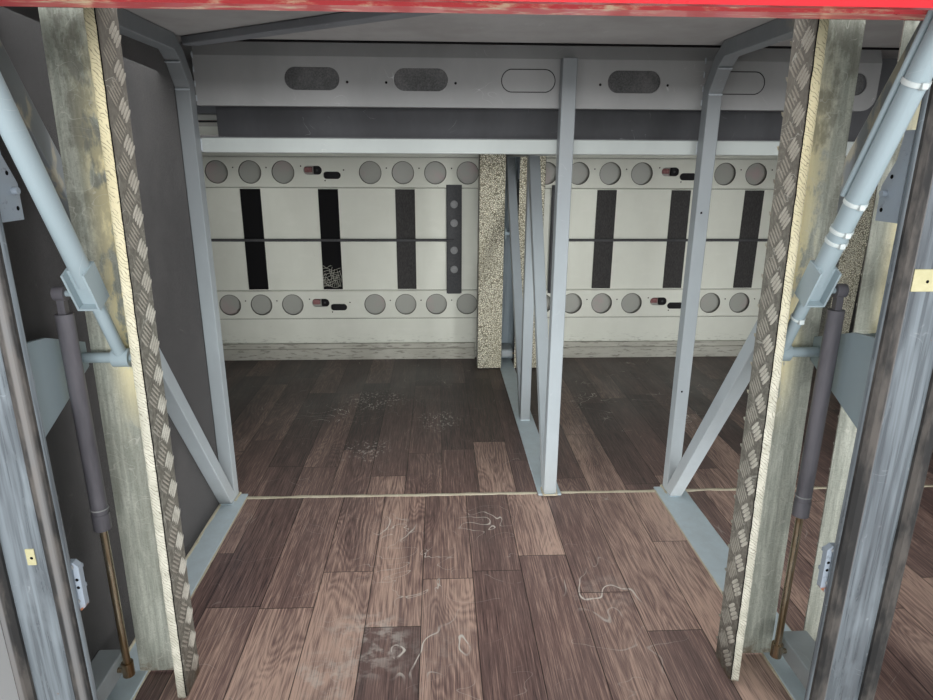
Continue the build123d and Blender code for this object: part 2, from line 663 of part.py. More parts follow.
def strut_cylinders(side, mid, half):
    """Gas strut bodies: eye, shank, tube and a gland collar, bored for the rod."""
    out = []
    end = cylinder_top + cylinder_l
    for s in (-1, 1):
        x = mid + s * (half - strut_x)
        eye = Rot(0, 90, 0) * Cylinder(strut_eye_d / 2, strut_eye_w)
        shank = block(around(0, strut_eye_w / 3), around(0, strut_eye_w / 3), (-cylinder_top - 1, 0))
        tube_body = Pos(0, 0, -(cylinder_top + end) / 2) * Cylinder(cylinder_d / 2, cylinder_l)
        collar = Pos(0, 0, collar_l / 2 - end) * Cylinder(cylinder_d / 2 + collar_t, collar_l)
        body = joined([eye, shank, tube_body, collar])
        body -= Pos(0, 0, -(cylinder_top + head_t + end + 1) / 2) * Cylinder(piston_rod_d / 2 + running, cylinder_l - head_t + 1)
        body -= Rot(0, 90, 0) * Cylinder(strut_pin_d / 2 + running, strut_eye_w * 2)
        out.append(Pos(x, 0, 0) * at_strut(side) * body)
    return Compound(out)


def strut_rods(side, mid, half):
    """Piston rods with the foot's ball housing and its stud, which stands against the bracket's cheek."""
    out = []
    length, pushed_in = (strut_long, 0.0) if side < 0 else (strut_short, strut_long - strut_short)
    head = cylinder_top + cylinder_l - rod_engaged - pushed_in
    for s in (-1, 1):
        x = mid + s * (half - strut_x)
        rod = Pos(0, 0, -(head + length) / 2) * Cylinder(piston_rod_d / 2, length - head)
        housing = Pos(0, 0, -length + foot_l / 2 - foot_d / 2) * Cylinder(foot_d / 2, foot_l)
        stud = pin_x(0, -length, sorted((0, s * (strut_x - bracket_half - stud_gap))), stud_d)
        out.append(Pos(x, 0, 0) * at_strut(side) * joined([rod, housing, stud]))
    return Compound(out)


nodes = {"base_frame": base_frame(), "floor_near": floor_board(-1), "floor_far": floor_board(1)}
for i, x in enumerate(near_planes):
    nodes["near_frame_%d" % (i + 1)] = near_frame(x)
for i, x in enumerate(far_planes):
    nodes["far_frame_%d" % (i + 1)] = far_frame(x)
nodes.update(mid_rail=mid_rail(), header_beam=header_beam(), stowage_tray=stowage_tray(), roof_brace=roof_brace(),
             ceiling_near=ceiling_near(), ceiling_far=ceiling_far(), deck_far=deck_far(), cant_rails=cant_rails(),
             cant_panels=cant_panels(), pillars=pillars(), pillar_seals=pillar_seals(), left_walls=left_walls(),
             end_wall=end_wall(), guards_near=guards(-1, near_planes, ceiling_h),
             guards_far=guards(1, far_planes, low_ceiling_h), thresholds=thresholds(), arm_brackets=arm_brackets(),
             strut_brackets=strut_brackets(), pillar_fittings=pillar_fittings())
for side, name, planes in ((-1, "near", near_pillars), (1, "far", far_planes)):
    for i, (a, b) in enumerate(zip(planes, planes[1:])):
        mid, half = (a + b) / 2, (b - a) / 2
        lift = flap_lift(side)
        key = "%s_%d" % (name, i + 1)
        nodes["flap_%s_skin" % key] = lift * flap_skin(side, mid, half)
        nodes["flap_%s_frame" % key] = lift * flap_frame(side, mid, half)
        nodes["flap_%s_strips" % key] = lift * flap_strips(side, mid, half)
        nodes["flap_%s_latch" % key] = lift * flap_latch(side, mid, half, 1 - 2 * i)
        nodes["arms_%s" % key] = lift_arms(side, mid, half)
        nodes["cylinders_%s" % key] = strut_cylinders(side, mid, half)
        nodes["rods_%s" % key] = strut_rods(side, mid, half)

left, right = near_pillars[:2]
nodes["arms_near_1"] = Compound(nodes["arms_near_1"].solids() + arm_loom(-1, (left + right) / 2, (right - left) / 2).solids())

os.makedirs("parts", exist_ok=True)
for name, solid in nodes.items():
    export_step(solid, "parts/%s.step" % name)
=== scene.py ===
"""Looks of the underfloor hold section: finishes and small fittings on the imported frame. Metres.

+X runs along the vehicle, +Y across it into the hold from the near side, +Z up.
"""
import json
import math
from functools import partialmethod, reduce

import bmesh
import bpy
import numpy as np
from mathutils import Matrix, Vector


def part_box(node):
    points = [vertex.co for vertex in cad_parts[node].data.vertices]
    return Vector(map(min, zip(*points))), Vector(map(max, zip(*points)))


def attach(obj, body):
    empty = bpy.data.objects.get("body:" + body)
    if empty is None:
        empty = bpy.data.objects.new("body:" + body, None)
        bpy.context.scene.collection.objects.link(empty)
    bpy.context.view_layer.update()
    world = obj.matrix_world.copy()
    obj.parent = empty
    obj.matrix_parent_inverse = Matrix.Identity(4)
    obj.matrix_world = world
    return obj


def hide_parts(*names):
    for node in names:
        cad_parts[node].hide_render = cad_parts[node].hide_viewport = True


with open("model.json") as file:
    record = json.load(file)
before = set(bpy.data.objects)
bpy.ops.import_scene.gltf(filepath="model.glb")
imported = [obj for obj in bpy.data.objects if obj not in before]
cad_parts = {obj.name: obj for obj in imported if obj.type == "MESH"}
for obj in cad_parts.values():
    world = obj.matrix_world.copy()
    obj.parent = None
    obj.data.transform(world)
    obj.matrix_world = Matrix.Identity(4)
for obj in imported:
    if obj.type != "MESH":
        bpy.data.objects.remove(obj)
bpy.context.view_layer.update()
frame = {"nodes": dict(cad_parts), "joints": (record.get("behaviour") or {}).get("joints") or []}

# Places that the frame gives
TUBE = 0.04
rail_low, rail_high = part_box("mid_rail")
beam_low, beam_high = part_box("header_beam")
guard_low, guard_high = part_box("guards_near")
pillar_low, pillar_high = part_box("pillars")
near_planes = np.linspace(rail_low[0] - TUBE / 2, rail_high[0] + TUBE / 2, 3)
far_planes = np.linspace(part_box("far_frame_1")[0][0] + TUBE / 2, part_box("far_frame_3")[1][0] - TUBE / 2, 3)
near_bay, far_bay = np.diff(near_planes)[0], np.diff(far_planes)[0]
middle_y = rail_low[1] - TUBE / 2
floor_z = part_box("floor_near")[1][2]
sill_z = guard_low[2]
ceiling_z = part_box("ceiling_near")[0][2]
room_h = ceiling_z - floor_z
cant_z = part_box("cant_panels")[0][2]
near_pillars = near_planes + np.array([0.0, -0.016, -0.016])

KEYS = ("near_1", "near_2", "far_1", "far_2")
PINS = {joint["name"]: joint["pos_m"] for joint in frame["joints"] if "pos_m" in joint}
CLOSED = [("far_1", (far_planes[0] + far_planes[1]) / 2), ("far_2", (far_planes[1] + far_planes[2]) / 2)]

# Each near guard: its pillar's place in the row, that plane's X, and the side it stands on
GUARDS = [(i, x, s) for i, x in enumerate(near_planes) for s in (-1, 1)
          if 0 <= i + (s - 1) // 2 < len(near_planes) - 1]

# Directions
OUT, UP, ALONG = (0, -1, 0), (0, 0, 1), (1, 0, 0)
LEAN = math.radians(1.62)
GUARD_IN = np.array([0.0, math.cos(LEAN), -math.sin(LEAN)])
GUARD_UP = np.array([0.0, math.sin(LEAN), math.cos(LEAN)])

# Sizes of what is added
SILL_HALF = 0.0495
GUARD_SIDE, GUARD_GAP, GUARD_DEPTH = 0.157, 0.034, 0.076
GUARD_LIP, GUARD_T = 0.016, 0.003
GUARD_FOOT_Y = -1.008
BAR_L, CELL, BARS = 0.0325, 0.04, 5
BROAD_BAR, THIN_BAR = (0.0072, 0.0014), (0.0042, 0.0011)
SLOT_X0, SLOT_PITCH, SLOT_RISE = -0.692, 0.293, 0.07
SLOT_L, SLOT_W = 0.147, 0.058
RAIL_HEIGHTS = (0.299, 0.98)
BOSS_HEIGHTS, BOSS_IN = (0.49, 0.59, 0.73, 0.825), 0.272
BOLT_HEIGHTS, STRIKER_HOLE_HEIGHTS = (0.33, 0.396), (0.356, 0.371)
HOLE_R, HOLE_FIRST, HOLE_PITCH = 0.056, 0.218, 0.1645
FLAP_FACE_Y, FIELD_FACE_Y, BAND_FACE_Y = 1.222, 1.234, 1.226
SEAL_FACE_Y = 1.237
PILLAR_FLANGE_Y, STOP_FACE_Y = 1.192, 1.178
SEAL_IN = 0.034
CORNER_R = 0.0035
DRILL_R, FLAT = 0.0035, 0.0005
RANDOM = 7

# Covering boards in the near and the far half: width, length, and X of the first joint
BOARD_WIDTHS, BOARD_LENGTH, BOARD_STARTS = (0.1305, 0.1223), 0.74, (-0.011, -0.104)

# Tags on the near pillars: X, Z, width, height
TAGS = ((-1.0137, 0.566, 0.014, 0.03), (0.374, 1.011, 0.038, 0.034))

# Lock parts behind a flap's slots: X from its middle, Y, Z from the rail, low and high
LOCK_FACE_Y, LOCK_BACK_Y = 1.2246, 1.244
LOCK_BODIES = (((-0.066, LOCK_FACE_Y, -0.01), (-0.026, LOCK_BACK_Y, 0.031)),
               ((-0.016, LOCK_FACE_Y, -0.034), (0.066, LOCK_BACK_Y, 0.007)))
LOCK_CAM = ((-0.112, 1.225, 0.0), (-0.074, 1.242, 0.026))
LOCK_SCREW = (-0.048, LOCK_FACE_Y, 0.01)

# Ties on the arm: place along it, radius, half width
TIES = ((0.5, 0.0178, 0.0034), (0.318, 0.0174, 0.0032), (0.268, 0.0174, 0.0032), (0.248, 0.0174, 0.003),
        (0.085, 0.0124, 0.0022))

# Where the floor is marked: X, Y and a radius
SCUFFS = {
    "lines": ((-0.445, -0.673, 0.17), (-0.213, -0.452, 0.12), (-0.821, 0.406, 0.15), (0.329, 0.547, 0.13),
              (0.739, 0.301, 0.13), (0.736, -0.356, 0.13), (-0.489, -0.485, 0.1)),
    "strokes": ((-0.381, -0.967, 0.12), (-0.336, -0.938, 0.1), (0.055, -0.797, 0.12),
                (-0.489, -0.485, 0.09)),
    "haze": ((-0.528, -0.93, 0.13), (-0.582, -1.017, 0.12)),
    "specks": ((-0.647, 0.577, 0.17), (-0.354, 0.336, 0.13), (-0.635, 0.058, 0.12))}

# The sky's strength; suns: power, spread, where they shine from; lamps: place, aim, width, height, power
SKY = 0.5
SUNS = (("sun", 3.0, 34.0, (0.04, -1.0, 0.02)), ("side_sun", 0.9, 10.0, (0.5, -1.0, 0.05)),
        ("left_sun", 0.5, 20.0, (-0.55, -1.0, 0.05)))
LAMPS = (("window", (-0.33, -1.78, 0.95), (-0.33, 0.0, 0.8), 1.0, 0.7, 1.8),
         ("fill_right", (0.55, -1.75, 0.95), (0.35, 0.0, 0.8), 0.6, 0.7, 1.2),
         ("fill_left", (-1.35, -1.8, 0.95), (-1.0, 0.0, 0.75), 0.6, 0.7, 2.4),
         ("fill_down", (-0.25, -0.7, 1.4), (-0.25, -0.75, 0.14), 1.8, 0.6, 7.5),
         ("fill_up", (-0.2, -0.45, 0.155), (-0.2, -0.4, 1.45), 1.6, 0.9, 7.0),
         ("rear", (0.0, 4.6, 3.2), (0.0, 0.0, 0.6), 5.0, 2.6, 130.0))


# Arrays of points and faces

def unit(vectors):
    """Vectors brought to length one."""
    return vectors / np.linalg.norm(vectors, axis=-1, keepdims=True)


def turns(count):
    """Angles of points spread evenly round a circle."""
    return np.linspace(0, 2 * math.pi, count, endpoint=False)


def grid_faces(rows, columns, closed=False):
    """Quads between neighbours in a grid of points; closed joins its last column to its first."""
    r = np.arange(rows - 1)[:, None] * columns
    c = np.arange(columns if closed else columns - 1)[None]
    nxt = (c + 1) % columns
    return np.stack([r + c, r + nxt, r + nxt + columns, r + c + columns], -1).reshape(-1, 4)


def capped_faces(count, m):
    """Faces between count rings of m points each, and one across either end."""
    ends = [list(range(m))[::-1], list(range((count - 1) * m, count * m))]
    return grid_faces(count, m, closed=True).tolist() + ends


def carried(path, profile, up=UP, scale=1.0):
    """A closed profile carried along a path, with flat ends: each path point plus the profile's coordinates
    times the path's side (tangent cross up) and its own up (side cross tangent), times the scale there."""
    path, profile = np.asarray(path, float), np.asarray(profile, float)
    tangent = unit(np.gradient(path, axis=0))
    side = unit(np.cross(tangent, up))
    own_up = np.cross(side, tangent)
    size = np.broadcast_to(scale, len(path))[:, None, None]
    rings = path[:, None] + (side[:, None] * profile[:, :1] + own_up[:, None] * profile[:, 1:]) * size
    return rings.reshape(-1, 3), capped_faces(len(path), len(profile))


def looped(path, profile, up):
    """A closed profile carried round a closed path, its second coordinate towards up."""
    side = unit(np.cross(np.roll(path, -1, axis=0) - np.roll(path, 1, axis=0), up))
    rings = path[:, None] + side[:, None] * profile[:, :1] + np.array(up) * profile[:, 1:]
    faces = grid_faces(len(path) + 1, len(profile), closed=True) % (len(path) * len(profile))
    return rings.reshape(-1, 3), faces.tolist()


def ring_profile(radius, count=10):
    """Points of a circle, wound so that carried faces point out."""
    return np.stack([np.cos(turns(count)) * radius, -np.sin(turns(count)) * radius], -1)


def half_round(half, height):
    """Points over a half ellipse: half as wide as given either way, and as high."""
    a = np.linspace(-math.pi / 2, math.pi / 2, 7)
    return np.stack([np.sin(a) * half, np.cos(a) * height], -1)


def turned(profile, origin, axis, count=20):
    """A profile of (radius, height) turned about an axis: origin, height along it and radius round it."""
    axis = unit(np.asarray(axis, float))
    first = unit(np.cross(axis, UP if abs(axis[2]) < 0.9 else ALONG))
    second = np.cross(axis, first)
    circle = np.cos(turns(count))[:, None] * first + np.sin(turns(count))[:, None] * second
    profile = np.asarray(profile, float)
    points = np.asarray(origin, float) + profile[:, None, 1:] * axis + profile[:, None, :1] * circle
    return points.reshape(-1, 3), capped_faces(len(profile), count)


def hoop(profile, origin, axis, count=40):
    """A closed profile of (radius, height) turned about an axis: a ring, open in its middle."""
    points, faces = turned(list(profile) + [profile[0]], origin, axis, count)
    return points, faces[:-2]


def button(x, y, z, radius, depth, axis=OUT):
    """A low round head: a flat top with a rounded shoulder. It faces out of the near side unless told."""
    a = np.linspace(0, math.pi / 2, 5)
    shoulder = [(radius * (0.75 + 0.25 * math.cos(v)), depth * math.sin(v)) for v in a]
    return turned([(radius, 0.0)] + shoulder + [(radius * 0.2, depth)], (x, y, z), axis, count=14)


def rounded_box(low, high, radius=0.003):
    """A box with rounded sides: a circle to the power 0.25, carried up, drawn in at each end."""
    low, high = np.asarray(low, float), np.asarray(high, float)
    half, centre = (high - low) / 2, (low + high) / 2
    count = 32
    circle = np.stack([np.cos(turns(count)), np.sin(turns(count))], -1)
    ring = np.sign(circle) * np.abs(circle) ** 0.25
    near_end = 1 - radius / half[2]
    points = []
    for t, inset in ((-1, -radius), (-near_end, 0), (near_end, 0), (1, -radius)):
        flat = centre[:2] + ring * (half[:2] + inset)
        points.append(np.concatenate([flat, np.full((count, 1), centre[2] + t * half[2])], 1))
    return np.concatenate(points), capped_faces(len(points), count)


def together(shapes):
    """Several (points, faces) as one, with the faces' numbers moved on."""
    points, faces, start = [], [], 0
    for p, f in shapes:
        points.append(p)
        faces += [[i + start for i in face] for face in f]
        start += len(p)
    return np.concatenate(points), faces


def repeated(points, faces, origins, bases):
    """One small shape at many places: each copy is origin plus the points times its basis, as one array."""
    copies = origins[:, None] + np.einsum("pj,kji->kpi", points, bases)
    numbers = faces[None] + (np.arange(len(origins)) * len(points))[:, None, None]
    return copies.reshape(-1, 3), numbers.reshape(-1, faces.shape[1]).tolist()


# Mesh objects

def placed(name, mesh, body, finish, smooth):
    """A mesh as an object with its finish, riding on a body."""
    mesh.materials.clear()
    mesh.materials.append(finish)
    mesh.shade_smooth()
    mesh.set_sharp_from_angle(angle=math.radians(smooth))
    obj = bpy.data.objects.new(name, mesh)
    bpy.context.scene.collection.objects.link(obj)
    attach(obj, body)
    return obj


def piece(name, shapes, finish, body="hold", smooth=35.0):
    """A new mesh object from a list of (points, faces), riding on a body."""
    points, faces = together(shapes)
    mesh = bpy.data.meshes.new(name)
    mesh.from_pydata(points.tolist(), [], faces)
    work = bmesh.new()
    work.from_mesh(mesh)
    bmesh.ops.recalc_face_normals(work, faces=work.faces)
    work.to_mesh(mesh)
    work.free()
    return placed(name, mesh, body, finish, smooth)


def softened(node, body, finish, radius):
    """A CAD node with its edges rounded: its triangles merged into flat faces, then bevelled."""
    mesh = frame["nodes"][node].data.copy()
    for attribute in [a for a in mesh.attributes if a.name == "custom_normal"]:
        mesh.attributes.remove(attribute)
    work = bmesh.new()
    work.from_mesh(mesh)
    bmesh.ops.remove_doubles(work, verts=work.verts, dist=2e-5)
    bmesh.ops.dissolve_limit(work, angle_limit=math.radians(0.5), verts=work.verts, edges=work.edges)
    work.to_mesh(mesh)
    work.free()
    obj = placed("soft_" + node, mesh, body, finish, 35.0)
    bevel = obj.modifiers.new("corners", "BEVEL")
    bevel.width = radius
    bevel.segments = 2
    bevel.limit_method = "ANGLE"
    bevel.angle_limit = math.radians(40)
    bevel.harden_normals = True
    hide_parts(node)


# Shader nodes

def seen(shade):
    """A colour as seen, 0 to 255, in the linear values that a shader takes. A socket stays as it is."""
    if isinstance(shade, bpy.types.NodeSocket):
        return shade
    return (*[v / 255 / 12.92 if v <= 10 else ((v / 255 + 0.055) / 1.055) ** 2.4 for v in shade], 1.0)


class Shading:
    """Short calls that place and link the nodes of one tree."""

    def __init__(self, tree):
        self.tree = tree

    def feed(self, socket, value):
        if isinstance(value, bpy.types.NodeSocket):
            self.tree.links.new(value, socket)
        else:
            socket.default_value = value

    def add(self, kind, inputs, out=0, **settings):
        """A node with its settings and its inputs by name or number; gives one of its outputs."""
        node = self.tree.nodes.new("ShaderNode" + kind)
        for name, value in settings.items():
            setattr(node, name, value)
        for key, value in inputs.items():
            self.feed(node.inputs[key], value)
        return node.outputs[out]

    def calc(self, operation, a, b=0.0, c=0.0, clamp=False):
        return self.add("Math", {0: a, 1: b, 2: c}, operation=operation, use_clamp=clamp)

    times = partialmethod(calc, "MULTIPLY")
    over_by = partialmethod(calc, "DIVIDE")
    plus = partialmethod(calc, "ADD")
    minus = partialmethod(calc, "SUBTRACT")
    times_plus = partialmethod(calc, "MULTIPLY_ADD")
    highest = partialmethod(calc, "MAXIMUM")
    folded = partialmethod(calc, "PINGPONG")
    size = partialmethod(calc, "ABSOLUTE")
    sine = partialmethod(calc, "SINE")
    above = partialmethod(calc, "GREATER_THAN")
    below = partialmethod(calc, "LESS_THAN")

    def span(self, value, low, high, to_low=0.0, to_high=1.0):
        """Maps low..high to to_low..to_high with eased ends, held outside."""
        return self.add("MapRange", {"Value": value, "From Min": low, "From Max": high, "To Min": to_low,
                                     "To Max": to_high}, interpolation_type="SMOOTHSTEP")

    def mix(self, factor, a, b):
        """Colour a towards colour b."""
        return self.add("Mix", {0: factor, 6: seen(a), 7: seen(b)}, out=2, data_type="RGBA")

    def level(self, factor, a, b):
        """Number a towards number b."""
        return self.add("Mix", {0: factor, 2: a, 3: b}, data_type="FLOAT")

    def scaled(self, vector, by):
        return self.add("VectorMath", {0: vector, 1: by}, operation="MULTIPLY")

    def moved(self, vector, by):
        return self.add("VectorMath", {0: vector, 1: by}, operation="ADD")

    def axes(self, vector):
        return tuple(self.add("SeparateXYZ", {0: vector}).node.outputs)

    def noise(self, vector, scale, detail=3.0, roughness=0.55, distortion=0.0, out=0):
        return self.add("TexNoise", {"Vector": vector, "Scale": scale, "Detail": detail,
                                     "Roughness": roughness, "Distortion": distortion}, out=out)


class Group(Shading):
    """The inside of a shared shader group. Its inputs are in given, and give feeds its outputs."""

    def __init__(self, name, outputs, **inputs):
        super().__init__(bpy.data.node_groups.new(name, "ShaderNodeTree"))
        new_socket = self.tree.interface.new_socket
        new_socket("Vector", in_out="INPUT", socket_type="NodeSocketVector")
        for label, default in inputs.items():
            kind = "NodeSocketVector" if isinstance(default, tuple) else "NodeSocketFloat"
            new_socket(label, in_out="INPUT", socket_type=kind).default_value = default
        for label in outputs:
            new_socket(label, in_out="OUTPUT", socket_type="NodeSocketFloat")
        self.given = self.tree.nodes.new("NodeGroupInput").outputs
        self.leave = self.tree.nodes.new("NodeGroupOutput").inputs
        self.place = self.given["Vector"]

    def give(self, **values):
        for label, value in values.items():
            self.feed(self.leave[label], value)
        return self.tree


def plank_group():
    """Boards in columns along Y with staggered ends: each one's tone, joints, figure and grain."""
    s = Group("planks", ("Tone", "Joint", "Figure", "Grain"), Width=0.13, Length=0.7, First=0.0)
    width, length = s.given["Width"], s.given["Length"]
    x, y, _ = s.axes(s.place)
    across = s.over_by(s.minus(x, s.given["First"]), width)
    column = s.calc("FLOOR", across)
    start = s.add("TexWhiteNoise", {"W": s.plus(column, 3.7)}, noise_dimensions="1D")
    along = s.plus(s.over_by(y, length), s.times(start, 5.0))
    number = s.add("CombineXYZ", {0: column, 1: s.calc("FLOOR", along), 2: 4.0})
    board = s.add("TexWhiteNoise", {"Vector": number}, noise_dimensions="3D").node.outputs
    to_edge = s.calc("MINIMUM", s.times(s.folded(across, 0.5), width), s.times(s.folded(along, 0.5), length))
    shift = s.scaled(board["Color"], (31.0, 17.0, 23.0))
    arcs = s.noise(s.moved(s.scaled(s.place, (1.0, 0.16, 1.0)), shift), 9.0, 2.0, 0.45, 0.35)
    bands = s.times(s.folded(s.times(arcs, 30.0), 0.5), 2.0)
    lines = s.times_plus(bands, 0.42, s.times(s.span(arcs, 0.28, 0.72), 0.58))
    straight = s.moved(s.scaled(s.place, (1.0, 0.028, 1.0)), shift)
    streaks = s.times(s.plus(s.noise(straight, 60.0, 4.0, 0.75), s.noise(straight, 14.0, 2.0)), 0.6)
    figured = s.times(s.span(s.axes(board["Color"])[0], 0.3, 0.55), 0.75)
    return s.give(Tone=board["Value"], Joint=s.span(to_edge, 0.0006, 0.0017, 1.0, 0.0),
                  Figure=s.level(figured, streaks, lines), Grain=s.noise(straight, 330.0, 3.0, 0.75))


def spot_group():
    """A round mask about a centre on the floor, its rim stirred by noise."""
    s = Group("spots", ("Mask",), Centre=(0.0, 0.0, 0.0), Radius=0.1)
    flat = s.scaled(s.place, (1.0, 1.0, 0.0))
    away = s.add("VectorMath", {0: flat, 1: s.given["Centre"]}, out="Value", operation="DISTANCE")
    rim = s.times_plus(s.minus(s.noise(s.place, 11.0, 2.0), 0.5), 0.16, away)
    return s.give(Mask=s.span(rim, s.times(s.given["Radius"], 0.35), s.given["Radius"], 1.0, 0.0))


def scratch_group():
    """Thin curved lines: where a stirred noise crosses its middle value, kept only inside a patchy mask."""
    s = Group("scratches", ("Mask",), Scale=8.0, Width=0.01, Amount=0.5, Stir=1.5)
    away = s.size(s.minus(s.noise(s.place, s.given["Scale"], 1.0, 0.4, s.given["Stir"]), 0.5))
    line = s.times(s.minus(1.0, s.over_by(away, s.given["Width"])), 2.0, clamp=True)
    patch = s.noise(s.moved(s.place, (3.1, 7.7, 1.9)), s.times(s.given["Scale"], 1.7), 3.0, 0.7)
    kept = s.minus(patch, s.minus(0.78, s.times(s.given["Amount"], 0.4)))
    return s.give(Mask=s.times(line, s.times(kept, 12.0, clamp=True), clamp=True))


def stain_group():
    """Soft stains: noise stretched by a vector, turned into a mask about a threshold."""
    s = Group("stains", ("Mask",), Stretch=(1.0, 1.0, 1.0), Scale=5.0, Amount=0.5, Softness=0.15)
    raw = s.noise(s.scaled(s.place, s.given["Stretch"]), s.given["Scale"], 5.0, 0.62)
    low, soft = s.minus(1.0, s.given["Amount"]), s.given["Softness"]
    return s.give(Mask=s.span(raw, s.minus(low, soft), s.plus(low, soft)))


def edge_group():
    """Edge wear: how far a rounded normal leaves the true one, broken up by noise."""
    s = Group("edge_wear", ("Mask",), Radius=0.002, Amount=0.5)
    normals = {0: s.add("Bevel", {"Radius": s.given["Radius"]}), 1: s.add("NewGeometry", {}, out="Normal")}
    same = s.add("VectorMath", normals, out="Value", operation="DOT_PRODUCT")
    low = s.minus(0.72, s.times(s.given["Amount"], 0.45))
    breaks = s.span(s.noise(s.place, 70.0, 4.0, 0.7), low, 0.75)
    return s.give(Mask=s.times(s.span(same, 0.995, 0.8), breaks))


def rib_group():
    """Woven ribs: two sets of slanted waves, with a coarse unevenness."""
    s = Group("ribs", ("Height", "Tone"), Pitch=0.003)
    x, y, z = s.axes(s.add("VectorMath", {0: s.place, "Scale": 2 * math.pi}, operation="SCALE"))
    flat = s.plus(x, y)
    one, two = (s.sine(s.over_by(slant, s.given["Pitch"])) for slant in (s.plus(flat, z), s.minus(flat, z)))
    height = s.times_plus(s.times(one, two), 0.5, s.noise(s.place, 420.0, 3.0, 0.7))
    return s.give(Height=height, Tone=s.span(height, 0.1, 1.0))


PLANKS, SPOTS, SCRATCHES = plank_group(), spot_group(), scratch_group()
STAINS, EDGES, RIBS = stain_group(), edge_group(), rib_group()


class Finish(Shading):
    """A material in the making: its shade starts from a mix and takes others over it through masks."""

    def __init__(self, name, metallic=0.0, coat=0.0, coat_roughness=0.1, sheen=0.0, specular=0.5):
        self.material = bpy.data.materials.new(name)
        self.material.use_nodes = True
        super().__init__(self.material.node_tree)
        self.shader = self.tree.nodes["Principled BSDF"].inputs
        for label, value in (("Metallic", metallic), ("Coat Weight", coat), ("Sheen Weight", sheen),
                             ("Coat Roughness", coat_roughness), ("Specular IOR Level", specular)):
            self.shader[label].default_value = value
        self.place = self.add("TexCoord", {}, out="Object")

    def start(self, factor, low, high):
        """The first shade, from low to high as the factor rises."""
        self.shade = self.mix(factor, low, high)

    def over(self, shade, *masks):
        """Another shade over it, as far as the masks' product goes."""
        self.shade = self.mix(reduce(self.times, masks), self.shade, shade)

    def done(self, roughness, height=None, relief=0.0, strength=1.0):
        """Links shade, roughness and the relief of a height. Gives the material."""
        self.feed(self.shader["Base Color"], self.shade)
        self.feed(self.shader["Roughness"], roughness)
        if height is not None:
            bump = self.add("Bump", {"Height": height, "Distance": relief, "Strength": strength})
            self.feed(self.shader["Normal"], bump)
        return self.material

    def group(self, tree, place=None, **inputs):
        """Places a shared group; gives its first output."""
        where = self.place if place is None else place
        return self.add("Group", {"Vector": where, **inputs}, node_tree=tree)

    def stain(self, scale, amount, softness, x=1.0, y=1.0, z=1.0, place=None):
        """Soft stains, drawn out along an axis where its stretch is under 1."""
        return self.group(STAINS, place, Stretch=(x, y, z), Scale=scale, Amount=amount, Softness=softness)

    def scratch(self, scale, width, amount, stir, place=None):
        return self.group(SCRATCHES, place, Scale=scale, Width=width, Amount=amount, Stir=stir)

    def edge(self, radius, amount):
        return self.group(EDGES, Radius=radius, Amount=amount)

    def drawn(self, stretch, *settings):
        """Noise drawn out along Z."""
        return self.noise(self.scaled(self.place, (1.0, 1.0, stretch)), *settings)

    def patches(self, scale, detail, roughness, *span):
        """Noise brought to a mask."""
        return self.span(self.noise(self.place, scale, detail, roughness), *span)

    def rise(self, low, high, to_low=0.0, to_high=1.0):
        """A span between two heights over the floor."""
        return self.span(self.axes(self.place)[2], floor_z + low, floor_z + high, to_low, to_high)

    def facing(self):
        """The surface's own direction along X, Y and Z."""
        return self.axes(self.add("TexCoord", {}, out="Normal"))

    def sideways(self):
        """Mask of the faces that look along X."""
        return self.above(self.size(self.facing()[0]), 0.7)

    def from_post(self):
        """Distance along X to the nearest near post."""
        return self.folded(self.minus(self.axes(self.place)[0], near_planes[0]), near_bay / 2)


def plank_covering():
    """Dark wood-look covering: figured or straight boards, each of its own tone, dusty and scratched.
    Painted light makes it brighter near the open side, and painted shade darkens it towards the far side.
    """
    s = Finish("plank_covering", coat=0.18, coat_roughness=0.3)
    y = s.axes(s.place)[1]
    far = s.above(y, middle_y)
    boards = s.group(PLANKS, Width=s.level(far, *BOARD_WIDTHS), Length=BOARD_LENGTH,
                     First=s.level(far, *BOARD_STARTS)).node.outputs
    # Each board's own tone, plus painted light: brighter near the open side, falling off towards the far side.
    tone = s.times_plus(s.span(y, -1.15, 1.1, 1.0, 0.0), 0.24, s.times(boards["Tone"], 0.6))
    grained = s.times_plus(boards["Grain"], 1.45, s.minus(tone, 0.84))
    value = s.times_plus(boards["Figure"], 0.7, grained)
    s.start(s.span(value, 0.16, 0.76), (44, 34, 37), (128, 102, 96))
    s.over((212, 180, 162), s.span(value, 0.62, 1.2))
    dust = s.stain(3.1, 0.52, 0.16, y=0.6)
    s.over((146, 136, 130), dust, 0.16)
    # Painted shade: darker towards the far side.
    s.over((42, 34, 33), s.span(y, -0.45, 0.8, 0.0, 0.66))
    smears = s.stain(30.0, 0.47, 0.1, y=1.3)
    strokes = s.scratch(13.0, 0.014, 1.1, 0.3, s.scaled(s.place, (1.0, 0.7, 1.0)))
    marks = s.times(s.scratch(4.0, 0.003, 0.75, 2.0, s.moved(s.place, (4.0, 2.0, 0.0))), 0.3)
    for kind, lines, strength in (("lines", s.scratch(6.5, 0.007, 1.25, 2.6), 0.95),
                                  ("strokes", strokes, 1.0),
                                  ("strokes", smears, 0.12), ("haze", smears, 0.42),
                                  ("specks", s.stain(95.0, 0.42, 0.03, y=0.6), 0.5)):
        spots = [s.group(SPOTS, Centre=(*at, 0.0), Radius=radius) for *at, radius in SCUFFS[kind]]
        marks = s.highest(marks, s.times(s.times(lines, reduce(s.highest, spots)), strength))
    s.over((222, 216, 206), marks)
    s.over((30, 22, 21), boards["Joint"], 0.85)
    rough = s.plus(s.times_plus(dust, 0.2, 0.36), s.times(marks, 0.35))
    height = s.minus(s.times(boards["Grain"], 0.35), boards["Joint"])
    return s.done(s.times_plus(boards["Grain"], 0.1, rough), height, 0.0004, 0.7)


